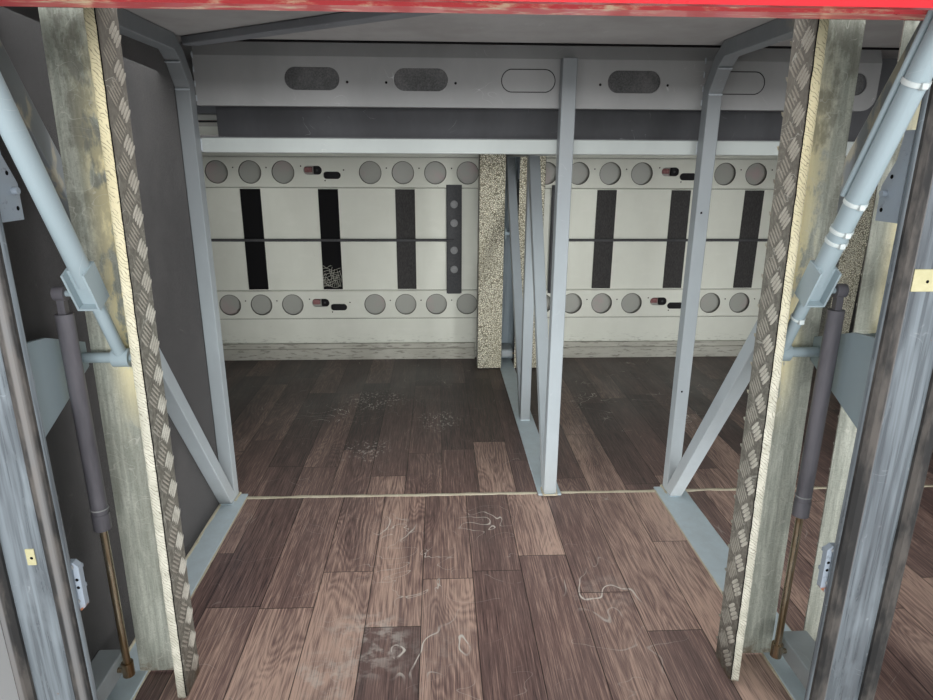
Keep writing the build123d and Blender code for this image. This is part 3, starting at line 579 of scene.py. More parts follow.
def painted(name, shade, dirty, roughness=0.42, wear=0.35, dirt=0.4, darker_high_and_crusted=False):
    """Sprayed steel: orange peel, clouded dirt, dust near the floor, scratches, pale edges. With
    darker_high_and_crusted: darker towards the ceiling, pale on top of the sills and crusted high on the near
    diagonals."""
    s = Finish(name, coat=0.12, coat_roughness=0.3)
    cloud = s.stain(4.0, 0.5, 0.18, z=0.5)
    s.start(s.times(cloud, dirt), shade, dirty)
    if darker_high_and_crusted:
        _, y, z = s.axes(s.place)
        # Darker towards the ceiling: a grey laid over the paint as it rises.
        s.over((98, 101, 103), s.rise(0.45, room_h - 0.1, 0.0, 0.85))
        s.over((212, 230, 238), s.below(z, sill_z + 0.004))
        crust = s.stain(26.0, 0.47, 0.05, z=0.4)
        s.over((176, 168, 142), crust, s.span(y, -0.62, -0.78), s.rise(0.62, 0.95), 0.55)
    s.over((120, 110, 92), s.rise(0.22, 0.0), s.noise(s.place, 26.0, 4.0, 0.7), 0.35)
    s.over((205, 208, 208), s.scratch(6.0, 0.004, 0.55, 3.0), 0.28)
    s.over((206, 210, 208), s.edge(0.0025, wear), 0.45)
    return s.done(s.times_plus(cloud, 0.18, roughness), s.noise(s.place, 420.0, 2.0, 0.5), 0.00025, 0.35)


def felt_lining():
    """Dark grey felt with a fine slanting weave: paler towards the floor, smudged paler in patches, with lint
    and scuffs.
    """
    s = Finish("felt_lining", sheen=0.15, specular=0.15)
    ribs = s.group(RIBS, Pitch=0.0028).node.outputs
    s.start(s.times(ribs["Tone"], s.level(s.rise(0.75, 0.25), 0.55, 0.95)), (38, 37, 38), (84, 83, 83))
    s.over((84, 82, 81), s.stain(5.2, 0.48, 0.14, z=0.7), 0.35)
    s.over((150, 148, 140), s.stain(60.0, 0.27, 0.03, z=0.6), 0.25)
    s.over((140, 138, 132), s.scratch(7.0, 0.006, 0.5, 1.0), 0.25)
    return s.done(0.95, ribs["Height"], 0.0008, 0.8)


def guard_plate():
    """Worn sheet of the near guards: brushed along its height, blotched cream at the lip, dark at the top,
    with painted shade on the ground under the bay face's bars, deeper higher up, and rust at its foot."""
    s = Finish("guard_plate", metallic=0.25)
    brushed = s.drawn(0.07, 120.0, 4.0, 0.7)
    s.start(s.span(brushed, 0.34, 0.68), (166, 171, 160), (206, 210, 198))
    s.over((128, 131, 116), s.patches(300.0, 3.0, 0.8, 0.47, 0.66, 0.0, 0.4))
    s.over((134, 134, 122), s.stain(9.0, 0.46, 0.14, z=0.3), 0.35)
    blotch = s.times(s.stain(24.0, 0.58, 0.05, x=1.2, z=0.5), s.span(s.from_post(), 0.052, 0.105))
    s.over((255, 244, 196), blotch, s.rise(0.5, 0.72), s.rise(room_h - 0.04, 0.98))
    dark = s.stain(22.0, 0.46, 0.06, z=0.5, place=s.moved(s.place, (5.0, 0.0, 2.0)))
    s.over((96, 93, 82), dark, s.rise(0.62, room_h - 0.2, 0.0, 0.55))
    # Painted shade: the ground under the bars on the faces that look along X, darker still higher up.
    ground = s.mix(s.patches(90.0, 3.0, 0.7, 0.35, 0.65), (112, 110, 102), (142, 141, 131))
    s.over(s.mix(s.rise(0.7, room_h, 0.0, 0.7), ground, (112, 104, 96)), s.sideways())
    s.over((112, 86, 58), s.rise(0.05, 0.0), s.patches(40.0, 4.0, 0.7, 0.42, 0.6), 0.7)
    s.over((226, 226, 216), s.scratch(12.0, 0.008, 0.9, 2.5), 0.4)
    return s.done(s.span(brushed, 0.2, 0.8, 0.42, 0.62), brushed, 0.0003, 0.4)


def bar_metal(name, low, high, top):
    """Tops of the chequer bars: speckled, rubbed bright in patches, browner high up."""
    s = Finish(name, metallic=0.3)
    s.start(s.stain(30.0, 0.52, 0.12, z=0.6), low, high)
    s.over(top, s.rise(0.55, room_h - 0.1, 0.0, 0.75))
    speckle = s.noise(s.place, 260.0, 3.0, 0.7)
    s.over((96, 92, 84), s.span(speckle, 0.5, 0.72, 0.0, 0.35))
    return s.done(s.span(speckle, 0.2, 0.8, 0.4, 0.62), speckle, 0.0003, 0.4)


def lip_metal():
    """Lip of a near guard: cream, with fine slanting nicks and small dark specks."""
    s = Finish("lip_metal")
    x, _, z = s.axes(s.place)
    slant = s.times(s.times_plus(x, 0.9, z), 900.0)
    wave = s.sine(s.times_plus(s.noise(s.place, 60.0, 2.0), 16.0, slant))
    nicks = s.times(s.span(wave, 0.55, 0.95), s.stain(90.0, 0.54, 0.05))
    s.start(s.patches(45.0, 3.0, 0.6, 0.35, 0.68), (184, 183, 168), (208, 206, 192))
    s.over((208, 198, 158), s.rise(0.55, 1.05, 0.0, 0.8))
    s.over((118, 114, 96), nicks, 0.7)
    s.over((116, 110, 92), s.stain(130.0, 0.34, 0.03), 0.6)
    return s.done(0.6, s.minus(1.0, nicks), 0.0005, 0.6)


def stucco_plate():
    """Stucco-embossed aluminium: crazed cells in relief, with painted highlights on their tops and painted
    shade along the cell edges and on the faces that look along X.
    """
    s = Finish("stucco_plate", metallic=0.05)
    stirred = s.moved(s.place, s.scaled(s.noise(s.place, 60.0, 2.0, 0.5, out="Color"), (0.012, 0.012, 0.012)))
    cells = s.add("TexVoronoi", {"Vector": stirred, "Scale": 125.0}, out="Distance",
                  feature="DISTANCE_TO_EDGE")
    crest = s.span(cells, 0.06, 0.2)
    # Painted light: bright crests and dark cell edges, as the relief would catch and lose the light.
    s.start(crest, (112, 109, 92), (244, 242, 222))
    # Painted shade: darker on the faces that look along X.
    s.over(s.mix(crest, (78, 78, 76), (132, 131, 126)), s.sideways())
    s.over((180, 172, 146), s.stain(5.0, 0.48, 0.2, z=0.4), 0.35)
    return s.done(s.level(crest, 0.55, 0.36), crest, 0.0008, 0.8)


def pillar_coat():
    """Glossy blue-grey coating, paler on the inner flange: streaks, rubs, flaking edges and rust dots."""
    s = Finish("pillar_coat", metallic=0.1, coat=0.4, coat_roughness=0.16)
    streak = s.drawn(0.035, 120.0, 3.0, 0.55)
    s.start(s.span(streak, 0.36, 0.66), (92, 99, 104), (124, 133, 139))
    s.over((62, 65, 70), s.span(s.drawn(0.12, 26.0, 3.0, 0.6), 0.5, 0.72, 0.0, 0.5))
    s.over((166, 181, 190), s.below(s.size(s.axes(s.place)[1]), PILLAR_FLANGE_Y), 0.85)
    rub = s.stain(16.0, 0.36, 0.05, z=0.35)
    s.over((158, 168, 174), rub, 0.18)
    edge = s.edge(0.004, 0.42)
    s.over((214, 214, 206), edge, 0.8)
    s.over((232, 230, 220), s.stain(42.0, 0.5, 0.03, z=0.6), s.rise(0.42, 0.3), edge, 0.9)
    s.over((196, 202, 204), s.scratch(14.0, 0.012, 0.5, 1.5), 0.22)
    s.over((122, 82, 58), s.stain(80.0, 0.27, 0.01, place=s.moved(s.place, (2.0, 0.0, 5.0))), 0.7)
    return s.done(s.times_plus(rub, 0.25, s.span(streak, 0.3, 0.7, 0.22, 0.4)), streak, 0.0006, 0.35)


def seal_rubber():
    """Rubber profile of the door seals: matt dark by the flange, a painted highlight on its ridge, dusty in
    patches.
    """
    s = Finish("seal_rubber", specular=0.3)
    away = s.from_post()
    # Painted highlight: a paler band along the ridge.
    s.start(s.times(s.span(away, 0.044, 0.048), s.span(away, 0.058, 0.054)), (50, 50, 50), (112, 112, 112))
    s.over((120, 114, 108), s.stain(30.0, 0.48, 0.12, z=0.3), 0.4)
    return s.done(0.75, s.noise(s.place, 200.0, 3.0, 0.6), 0.0004, 0.5)


def flap_paint():
    """Light warm grey flap lining: dusty, faintly blotched, wiped in soft streaks, scuffed at its foot."""
    s = Finish("flap_inner")
    cloud = s.stain(3.4, 0.5, 0.22, z=0.6)
    s.start(s.times(cloud, 0.45), (212, 215, 204), (192, 194, 183))
    wipe = s.noise(s.scaled(s.place, (0.35, 1.0, 1.0)), 22.0, 3.0, 0.6)
    s.over((222, 223, 214), s.span(wipe, 0.52, 0.75, 0.0, 0.25))
    s.over((118, 112, 100), s.stain(48.0, 0.27, 0.02), 0.35)
    s.over((70, 66, 58), s.stain(70.0, 0.4, 0.06, x=0.35, z=1.6), s.rise(0.16, 0.02, 0.0, 0.8))
    s.over((206, 206, 198), s.edge(0.002, 0.25), 0.4)
    return s.done(s.times_plus(cloud, 0.15, 0.48), s.noise(s.place, 300.0, 2.0, 0.5), 0.0003, 0.3)


def threshold_paint():
    """Light edge profiles: rubbed pale on their nosings, with long black scuffs."""
    s = Finish("threshold_paint")
    scuffs = s.stain(95.0, 0.42, 0.05, x=0.16)
    s.start(s.times(s.stain(9.0, 0.5, 0.2, x=0.5), 0.5), (184, 184, 174), (150, 148, 136))
    s.over((78, 74, 66), scuffs, 0.55)
    s.over((212, 210, 200), s.edge(0.003, 0.5), 0.6)
    return s.done(0.5, scuffs, 0.0003, 0.4)


def skin_paint(name, rubbed=False):
    """Gloss red, grey on the faces that look inward. Rubbed: brighter, cream streaks at the lower edge."""
    s = Finish(name, coat=0.5, coat_roughness=0.12)
    _, y, z = s.axes(s.place)
    inside = s.below(s.times(s.facing()[1], s.calc("SIGN", y)), -0.7)
    cloud = s.stain(5.0, 0.5, 0.2, x=0.5)
    s.start(s.times(cloud, 0.35), (190, 18, 32), (200, 42, 52))
    if rubbed:
        strip = s.span(z, cant_z + 0.06, cant_z + 0.03)
        s.over((236, 92, 98), strip, 0.75)
        s.over((250, 222, 190), s.stain(70.0, 0.4, 0.1, x=0.3), strip)
    grey = s.mix(s.patches(7.0, 3.0, 0.6, 0.52, 0.72), (158, 160, 153), (168, 156, 153))
    s.over(grey, inside)
    return s.done(s.level(inside, s.times_plus(cloud, 0.12, 0.24), 0.6))


def mottled(name, dark, pale, roughness, scale, relief, specular=0.4):
    """A plain surface with fine two-tone mottling and relief."""
    s = Finish(name, specular=specular)
    fine = s.noise(s.place, scale, 4.0, 0.7)
    broad = s.noise(s.place, scale / 18, 3.0, 0.6)
    s.start(s.times_plus(s.span(broad, 0.35, 0.7), 0.5, s.times(s.span(fine, 0.35, 0.68), 0.5)), dark, pale)
    return s.done(s.times_plus(fine, 0.15, roughness - 0.08), fine, relief, 0.6)


def padding_foam():
    """Padding strips with a fine vertical texture: jet black at first, greyed by dust further along X."""
    s = Finish("black_padding", sheen=0.1, specular=0.15)
    dusty = s.above(s.axes(s.place)[0], CLOSED[0][1] + 0.2)
    fine = s.drawn(0.3, 260.0, 4.0, 0.7)
    s.start(s.times(dusty, s.span(fine, 0.3, 0.75, 0.35, 0.85)), (24, 24, 25), (78, 77, 76))
    return s.done(0.92, fine, 0.0009, 0.6)


def strut_black():
    """Black enamel greyed by dust and long rub marks."""
    s = Finish("strut_black", coat=0.2, coat_roughness=0.25)
    dust = s.stain(18.0, 0.47, 0.18, z=0.18)
    s.start(s.times(dust, 0.6), (72, 71, 76), (124, 122, 128))
    return s.done(s.times_plus(dust, 0.3, 0.34), s.noise(s.place, 350.0, 2.0, 0.5), 0.0003, 0.35)


def rod_steel():
    """Oiled bare rod: brownish film on bright steel, drawn out along the rod."""
    s = Finish("rod_steel", metallic=0.9)
    film = s.stain(60.0, 0.52, 0.2, z=0.1)
    s.start(film, (196, 186, 166), (126, 100, 66))
    return s.done(s.times_plus(film, 0.22, 0.18))


def fitting_paint():
    """Blue-grey paint on small fittings, chipped on their edges, with rust at the strikers' feet."""
    s = Finish("fitting_paint", coat=0.1, coat_roughness=0.3)
    chips = s.stain(70.0, 0.36, 0.04)
    s.start(s.times(chips, 0.5), (146, 157, 168), (104, 108, 114))
    s.over((198, 202, 200), s.edge(0.003, 0.4), 0.5)
    foot = s.span(s.size(s.minus(s.axes(s.place)[2], floor_z + 0.314)), 0.003, 0.01, 1.0, 0.0)
    rust = s.times(foot, s.patches(90.0, 3.0, 0.7, 0.42, 0.58))
    s.over((146, 92, 60), rust)
    return s.done(s.level(rust, 0.5, 0.85), s.plus(chips, s.noise(s.place, 260.0, 3.0, 0.6)), 0.0005, 0.5)


FRAME = painted("frame_paint", (164, 174, 178), (134, 140, 144), darker_high_and_crusted=True)
RAIL = painted("rail_paint", (150, 156, 154), (126, 131, 130))
FRAME_DARK = painted("frame_paint_dark", (110, 113, 117), (86, 88, 92), roughness=0.5, dirt=0.5)
ARM = painted("arm_paint", (150, 166, 172), (130, 143, 148), roughness=0.38, dirt=0.3)
BEAM = painted("beam_paint", (130, 131, 131), (110, 111, 111), roughness=0.48, dirt=0.5, wear=0.3)
CEILING = painted("ceiling_paint", (150, 149, 148), (126, 124, 122), roughness=0.6, dirt=0.6, wear=0.2)
TRAY = painted("tray_paint", (82, 83, 86), (60, 60, 62), roughness=0.6, dirt=0.6, wear=0.2)
FLOOR, FELT, PLATE, LIP = plank_covering(), felt_lining(), guard_plate(), lip_metal()
STUCCO, PILLAR, FLAP, SILL = stucco_plate(), pillar_coat(), flap_paint(), threshold_paint()
SKIN, CANT = skin_paint("body_red"), skin_paint("body_red_rubbed", rubbed=True)
RUBBER, PADDING, FITTING = seal_rubber(), padding_foam(), fitting_paint()
STRUT, ROD = strut_black(), rod_steel()
# One bar finish in two copies: the thin bars' darker colours are painted shade for the bars of the other
# slant.
BROAD_BARS = bar_metal("broad_bars", (196, 194, 182), (224, 223, 211), (164, 156, 144))
THIN_BARS = bar_metal("thin_bars", (170, 167, 157), (186, 183, 171), (150, 142, 130))
# Painted shade: a dark grey for the holes' turned rims, darker than the flap lining.
HOLE_RIM_SHADE = mottled("rim_shade", (84, 84, 79), (112, 112, 105), 0.7, 120.0, 0.0002)
BLACK = mottled("black_parts", (18, 18, 19), (44, 44, 46), 0.6, 120.0, 0.0004)
LATCH = mottled("latch_steel", (62, 63, 65), (84, 85, 86), 0.55, 90.0, 0.0003)
BOSS = mottled("boss_steel", (122, 124, 125), (152, 154, 153), 0.45, 90.0, 0.0003)
INSULATION = mottled("insulation", (58, 59, 60), (98, 98, 98), 0.9, 210.0, 0.0022, specular=0.2)
SEALANT = mottled("sealant", (196, 188, 162), (222, 216, 196), 0.6, 150.0, 0.0007)
TIE = mottled("tie_plastic", (186, 196, 196), (206, 214, 212), 0.4, 80.0, 0.0001)
NET = mottled("net_thread", (168, 168, 156), (208, 208, 196), 0.7, 120.0, 0.0002)
# Near black: dark joints, and painted shade in holes, under the flaps' rails and beside the guard lips.
DARK = mottled("dark_gap", (12, 12, 13), (26, 26, 27), 0.9, 90.0, 0.0003, specular=0.1)
LABEL = mottled("blank_label", (176, 172, 134), (192, 187, 152), 0.6, 90.0, 0.0002)
WELD = mottled("weld_paint", (134, 141, 147), (166, 173, 178), 0.45, 160.0, 0.0006)
CAM = mottled("cam_red", (118, 78, 78), (158, 124, 122), 0.55, 90.0, 0.0002)


def dress():
    """Gives each CAD node its finish; tubes, pillars and edge profiles come back with rounded corners."""
    plain = [(FLOOR, "floor_near floor_far"), (FRAME_DARK, "base_frame cant_rails"), (BEAM, "header_beam"),
             (TRAY, "stowage_tray"), (CEILING, "ceiling_near ceiling_far deck_far"), (CANT, "cant_panels"),
             (RUBBER, "pillar_seals"), (FELT, "left_walls end_wall"), (PLATE, "guards_near"),
             (STUCCO, "guards_far")]
    for finish, name in ((SKIN, "flap_%s_skin"), (FLAP, "flap_%s_frame"), (PADDING, "flap_%s_strips"),
                         (LATCH, "flap_%s_latch"), (STRUT, "cylinders_%s"), (ROD, "rods_%s")):
        plain += [(finish, name % key) for key in KEYS]
    for finish, names in plain:
        for name in names.split():
            for material_slot in frame["nodes"][name].material_slots:
                material_slot.material = finish
    for row in ("near", "far"):
        for k in (1, 2, 3):
            softened("%s_frame_%d" % (row, k), "hold", FRAME, CORNER_R)
    for node, slot, finish, radius in (
            ("strut_brackets", "frame_paint", FRAME, CORNER_R), ("mid_rail", "frame_paint", RAIL, CORNER_R),
            ("roof_brace", "frame_paint", FRAME_DARK, CORNER_R), ("thresholds", "flap_inner", SILL, 0.0025),
            ("pillars", "pillar_coat", PILLAR, 0.003), ("pillar_fittings", "frame_paint", FITTING, 0.002),
            ("arm_brackets", "frame_paint", ARM, 0.0015)):
        softened(node, "hold", finish, radius)
    for key in KEYS:
        softened("arms_" + key, "arms_" + key, ARM, 0.0012)


# The near guards' chequer relief

def bar_shape(width, height):
    """One raised bar on a lens outline: it falls off as the root of 1 - u^6 along it, 1 - v*v across."""
    u, v = np.meshgrid(np.linspace(-1, 1, 8), np.linspace(-1, 1, 4), indexing="ij")
    taper = np.sqrt(np.clip(1 - u ** 4, 0, 1)) * 0.9 + 0.1
    rise = height * taper * (1 - v ** 2) * np.sqrt(1 - u ** 6)
    return np.stack([u * BAR_L / 2, v * taper * width / 2, rise], -1).reshape(-1, 3), grid_faces(8, 4)


def chequer(origin, right, up, width, height):
    """Bars in a grid of cells turned by 45 degrees, broad and thin by turns, kept inside a sheet."""
    out = np.cross(right, up)
    reach = int((width + height) / CELL) + 2
    cells = np.arange(-reach, reach)
    i, j, k = (v.ravel() for v in np.meshgrid(cells, cells, np.arange(BARS), indexing="ij"))
    broad = (i + j) % 2 == 0
    offset = (k - (BARS - 1) / 2) * CELL / BARS
    a = (i + 0.5) * CELL + np.where(broad, 0, offset)
    b = (j + 0.5) * CELL + np.where(broad, offset, 0)
    across, rise = (a - b) / math.sqrt(2), (a + b) / math.sqrt(2)
    half = BAR_L / 2 / math.sqrt(2)
    inside = (across > half) & (across < width - half * 0.8) & (rise > half) & (rise < height - half)
    shapes = []
    for kind, along, bar in ((broad, unit(right + up), BROAD_BAR), (~broad, unit(up - right), THIN_BAR)):
        keep = inside & kind
        origins = origin + across[keep][:, None] * right + rise[keep][:, None] * up
        basis = np.stack([along, np.cross(out, along), out])
        shapes.append(repeated(*bar_shape(*bar), origins, np.broadcast_to(basis, (len(origins), 3, 3))))
    return shapes


def on_guard(x, depth, height):
    """A point of a leaning guard: depth out from its foot line, height up its slope."""
    return np.array([x, GUARD_FOOT_Y, floor_z]) - depth * GUARD_IN + height * GUARD_UP


def guard_chequer():
    """Bars on the bay face and the hold face of each near guard."""
    start = guard_low[2] - floor_z + 0.004
    height = guard_high[2] - guard_low[2] - 0.014
    for i, x, s in GUARDS:
        face = on_guard(x + s * (GUARD_SIDE + GUARD_T / 2), GUARD_DEPTH if s > 0 else 0.0, start)
        back = on_guard(max(x + s * GUARD_GAP, x + s * GUARD_SIDE), -GUARD_T / 2, start)
        side = chequer(face, s * GUARD_IN, GUARD_UP, GUARD_DEPTH, height)
        hold = chequer(back, np.array([-1.0, 0.0, 0.0]), GUARD_UP, GUARD_SIDE - GUARD_GAP, height)
        name = "%d_%s" % (i + 1, "left" if s < 0 else "right")
        for kind, finish, shapes in zip(("broad", "thin"), (BROAD_BARS, THIN_BARS), zip(side, hold)):
            piece("chequer_%s_%s" % (kind, name), shapes, finish, smooth=60)


def guard_lips():
    """A rubbed pale edge on each near guard's lip: a rounded strip of wandering width, and beside it a dark
    cord, the lip's edge with painted shadow.
    """
    rng = np.random.default_rng(RANDOM)
    lips, edges = [], []
    half = GUARD_LIP / 2
    profile = np.concatenate([half_round(half, 0.002), [[half * 0.8, -0.0012], [-half * 0.8, -0.0012]]])
    heights = np.arange(guard_low[2] - floor_z + 0.003, guard_high[2] - floor_z - 0.016, 0.011)
    for _, x, s in GUARDS:
        middle = x + s * (GUARD_SIDE - half)
        path = np.array([on_guard(middle, GUARD_DEPTH + GUARD_T / 2, h) for h in heights])
        path[:, 0] += rng.normal(0, 0.0003, len(path))
        ripple = 1 + 0.04 * np.sin(heights * 2 * math.pi / 0.033) + rng.normal(0, 0.01, len(path))
        lips.append(carried(path, profile, up=OUT, scale=ripple))
        # A dark cord beside the lip: its edge and a painted shadow.
        edges.append(carried(path + (s * (half + 0.0008), 0.0006, 0), ring_profile(0.001, 6), up=OUT))
    piece("guard_lips", lips, LIP, smooth=50)
    piece("guard_lip_edge_shadows", edges, DARK)


# Sealant and welds

def bead(start, end, width, height, rng, wander=0.0012):
    """A hand-laid bead: a half-round strip along a line that wanders, swells and thins by smoothed noise."""
    start, line = np.array(start), np.subtract(end, start)
    count = max(8, int(np.linalg.norm(line) / 0.012))
    drift, swell = (np.convolve(rng.normal(0, 1, count + 8), np.ones(n) / n, "same")[4:-4] for n in (5, 3))
    path = start + line * np.linspace(0, 1, count)[:, None]
    path += unit(np.cross(line, UP)) * drift[:, None] * wander * 2
    profile = np.concatenate([half_round(width / 2, height), [[0, -height * 0.3]]])
    return carried(path, profile, scale=1 + 0.22 * swell)


def sealant():
    """Cream beads: along the boards' seam, the sills and the left wall, and round the middle posts' feet."""
    rng = np.random.default_rng(RANDOM)
    shapes = []
    for a, b in zip(near_planes, near_planes[1:]):
        posts = [v for x in far_planes if a < x < b for v in (x - TUBE, x + TUBE)]
        stops = [a + SILL_HALF] + posts + [b - SILL_HALF]
        for x0, x1 in zip(stops[::2], stops[1::2]):
            shapes.append(bead((x0, middle_y, floor_z), (x1, middle_y, floor_z), 0.015, 0.0026, rng, 0.001))
    half = TUBE / 2 + 0.002
    for x in [*near_planes, far_planes[1]]:
        corners = ((-1, 1), (1, 1), (1, -1.2), (-1, -1.2))
        ring = [(x + dx * half, middle_y + dy * half, sill_z) for dx, dy in corners]
        for p, q in zip(ring, ring[1:] + ring[:1]):
            shapes.append(bead(p, q, 0.009, 0.0045, rng))
    for _, x, s in GUARDS:
        edge, end_y = x + s * SILL_HALF, pillar_low[1] + 0.05
        shapes.append(bead((edge, middle_y, floor_z), (edge, end_y, floor_z), 0.005, 0.0035, rng, 0.0004))
    wall_x = near_planes[0] - TUBE / 2 + 0.001
    ends = [(wall_x, y, sill_z) for y in (middle_y - 0.02, GUARD_FOOT_Y + 0.01)]
    shapes.append(bead(*ends, 0.009, 0.004, rng))
    piece("sealant", shapes, SEALANT, smooth=70)


def weld(start, end, radius, up, rng):
    """A weld: a low rounded bead with a ripple every 2.2 mm, fading at both ends."""
    line = np.subtract(end, start)
    length = np.linalg.norm(line)
    t = np.linspace(0, 1, max(10, int(length / 0.0011)))
    ends = np.sqrt(np.clip(1 - (2 * t - 1) ** 8, 0.05, 1))
    ripple = ends * (1 + 0.16 * np.abs(np.sin(t * length / 0.0022 * math.pi)) + rng.normal(0, 0.03, len(t)))
    return carried(start + line * t[:, None], ring_profile(radius, 8), up=up, scale=ripple)


def welds():
    """Weld beads on the frames: across the haunch corners, at the posts' feet, up the header beam's ends."""
    rng = np.random.default_rng(RANDOM + 1)
    half = TUBE / 2
    front = middle_y - half
    knee_z = ceiling_z - 0.112
    shapes = []
    for x in near_planes:
        for y, z in ((0.0005, knee_z - 0.012), (0.046, knee_z + 0.048), (0.001, sill_z + 0.028)):
            shapes.append(weld((x - half, front - y, z), (x + half, front - y, z), 0.0022, OUT, rng))
        for edge in (x - half - 0.0005, x + half + 0.0005):
            if near_planes[0] - half < edge < near_planes[2] + half:
                stitches = [(z, z + 0.016) for z in np.arange(beam_low[2] + 0.01, ceiling_z - 0.02, 0.036)]
                for z0, z1 in stitches + [(rail_low[2] + 0.002, rail_high[2] - 0.002)]:
                    ends = [(edge, middle_y + half, z) for z in (z0, z1)]
                    shapes.append(weld(*ends, 0.002, ALONG, rng))
    piece("welds", shapes, WELD, smooth=60)


# Small fittings

def drill_marks():
    """Small drill holes, each a flat dark disc painted as the shade in the hole: beside the beam's slots, in
    the posts and between the flaps' holes.
    """
    shapes = []
    for place, s in ((0, 1), (1, -1), (1, 1), (3, -1), (3, 1), (5, -1)):
        x = SLOT_X0 + place * SLOT_PITCH + s * 0.094
        shapes.append(button(x, beam_low[1] - 0.0003, beam_low[2] + SLOT_RISE - 0.008, DRILL_R, FLAT))
    for h in (0.355, 0.9):
        shapes.append(button(near_planes[1] - 0.004, middle_y - TUBE / 2, floor_z + h, 0.0032, FLAT))
    piece("drill_marks", shapes, DARK)
    places = [(s * (0.3 + HOLE_PITCH * k), 0.022) for s in (-1, 1) for k in range(3)]
    places += [(0.085, 0.012), (-0.01, -0.04), (-0.128, 0.03)]
    for key, middle in CLOSED:
        shapes = [button(middle + dx, FLAP_FACE_Y - 0.0001, floor_z + h + dz, DRILL_R, FLAT)
                  for h in RAIL_HEIGHTS for dx, dz in places]
        piece("flap_marks_" + key, shapes, DARK, "flap_" + key)


def blank_outlines():
    """Thin pressed outlines on the header beam where a hole wasn't cut: closed rounded oblongs."""
    a = turns(48)
    shapes = []
    for place in (2, 4):
        x = SLOT_X0 + place * SLOT_PITCH + np.sign(np.cos(a)) * (SLOT_L - SLOT_W) / 2 + np.cos(a) * SLOT_W / 2
        y = np.full_like(a, beam_low[1] - 0.0002)
        z = beam_low[2] + SLOT_RISE + np.sin(a) * SLOT_W / 2
        shapes.append(looped(np.stack([x, y, z], -1), ring_profile(0.0011, 6), OUT))
    piece("blank_outlines", shapes, DARK)


def hole_rims():
    """Turned edges of the closed flaps' round holes: a small lip that leans back into the hole, in a dark grey
    that is painted shade for the hole's depth.
    """
    lip = ((0.0008, -0.0004), (0.0004, 0.0008), (-0.0012, 0.001), (-0.002, 0.0002), (-0.0024, -0.006),
           (-0.001, -0.006))
    profile = [(HOLE_R + dr, h) for dr, h in lip]
    for key, middle in CLOSED:
        shapes = [hoop(profile, (middle + s * (HOLE_FIRST + HOLE_PITCH * k), FLAP_FACE_Y, floor_z + h), OUT)
                  for h in RAIL_HEIGHTS for s in (-1, 1) for k in range(4)]
        piece("hole_rims_" + key, shapes, HOLE_RIM_SHADE, "flap_" + key, smooth=40)


def flap_locks():
    """Locks behind the slots of the closed flaps: a black body in two parts, a dull red cam and a screw."""
    for key, middle in CLOSED:
        rails = [np.array([middle, 0.0, floor_z + h]) for h in RAIL_HEIGHTS]
        black = [rounded_box(at + low, at + high) for at in rails for low, high in LOCK_BODIES]
        red = [rounded_box(*(at + LOCK_CAM)) for at in rails]
        screws = [button(*(at + LOCK_SCREW), 0.006, 0.0015) for at in rails]
        piece("lock_bodies_" + key, black, BLACK, "flap_" + key)
        piece("lock_cams_" + key, red, CAM, "flap_" + key)
        piece("lock_screws_" + key, screws, LATCH, "flap_" + key)


def latch_rings():
    """A domed cap with a screw on each boss of the latch bars."""
    profile = [(0.0195, -0.001), (0.0195, 0.001), (0.017, 0.0026), (0.012, 0.0036), (0.0065, 0.004),
               (0.006, 0.003), (0.0035, 0.003), (0.003, 0.0044), (0.0005, 0.0046)]
    for key, s in (("far_1", -1), ("far_2", 1)):
        x, face = far_planes[1] + s * BOSS_IN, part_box("flap_%s_latch" % key)[0][1]
        shapes = [turned(profile, (x, face, floor_z + h), OUT, count=28) for h in BOSS_HEIGHTS]
        piece("latch_rings_" + key, shapes, BOSS, "flap_" + key)


def beam_lining():
    """Grey insulation behind the header beam's oblong holes: a quilted sheet, its face waved by two sines."""
    x = np.linspace(near_planes[0] + 0.03, 0.84, 150)
    z = np.linspace(beam_low[2] + 0.03, beam_low[2] + 0.112, 12)
    gx, gz = np.meshgrid(x, z, indexing="ij")
    y = beam_low[1] + 0.0065 + 0.0012 * np.sin(gx * 190) * np.sin(gz * 170)
    front = np.stack([gx, y, gz], -1).reshape(-1, 3)
    rows, columns = gx.shape
    count = rows * columns
    faces = grid_faces(rows, columns)
    numbers = np.arange(count).reshape(rows, columns)
    edge = np.concatenate([numbers[0], numbers[1:, -1], numbers[-1, -2::-1], numbers[-2:0:-1, 0]])
    nxt = np.roll(edge, -1)
    rim = np.stack([edge, nxt, nxt + count, edge + count], -1)
    every = np.concatenate([faces, faces[:, ::-1] + count, rim]).tolist()
    sheet = np.concatenate([front, front + (0, 0.004, 0)]), every
    piece("beam_lining", [sheet], INSULATION)


def pillar_tags():
    """Blank yellowed tags with one hole, on the near pillars' outer faces; the hole is a flat dark disc,
    painted shade.
    """
    y = pillar_low[1] - 0.003
    tags = [rounded_box((x - w / 2, y - 0.0014, z - h / 2), (x + w / 2, y + 0.0012, z + h / 2), radius=0.0008)
            for x, z, w, h in TAGS]
    holes = [button(x + w * 0.1, y - 0.0013, z - h * 0.05, 0.0026, 0.0004) for x, z, w, h in TAGS]
    piece("pillar_tags", tags, LABEL)
    piece("tag_holes", holes, DARK)


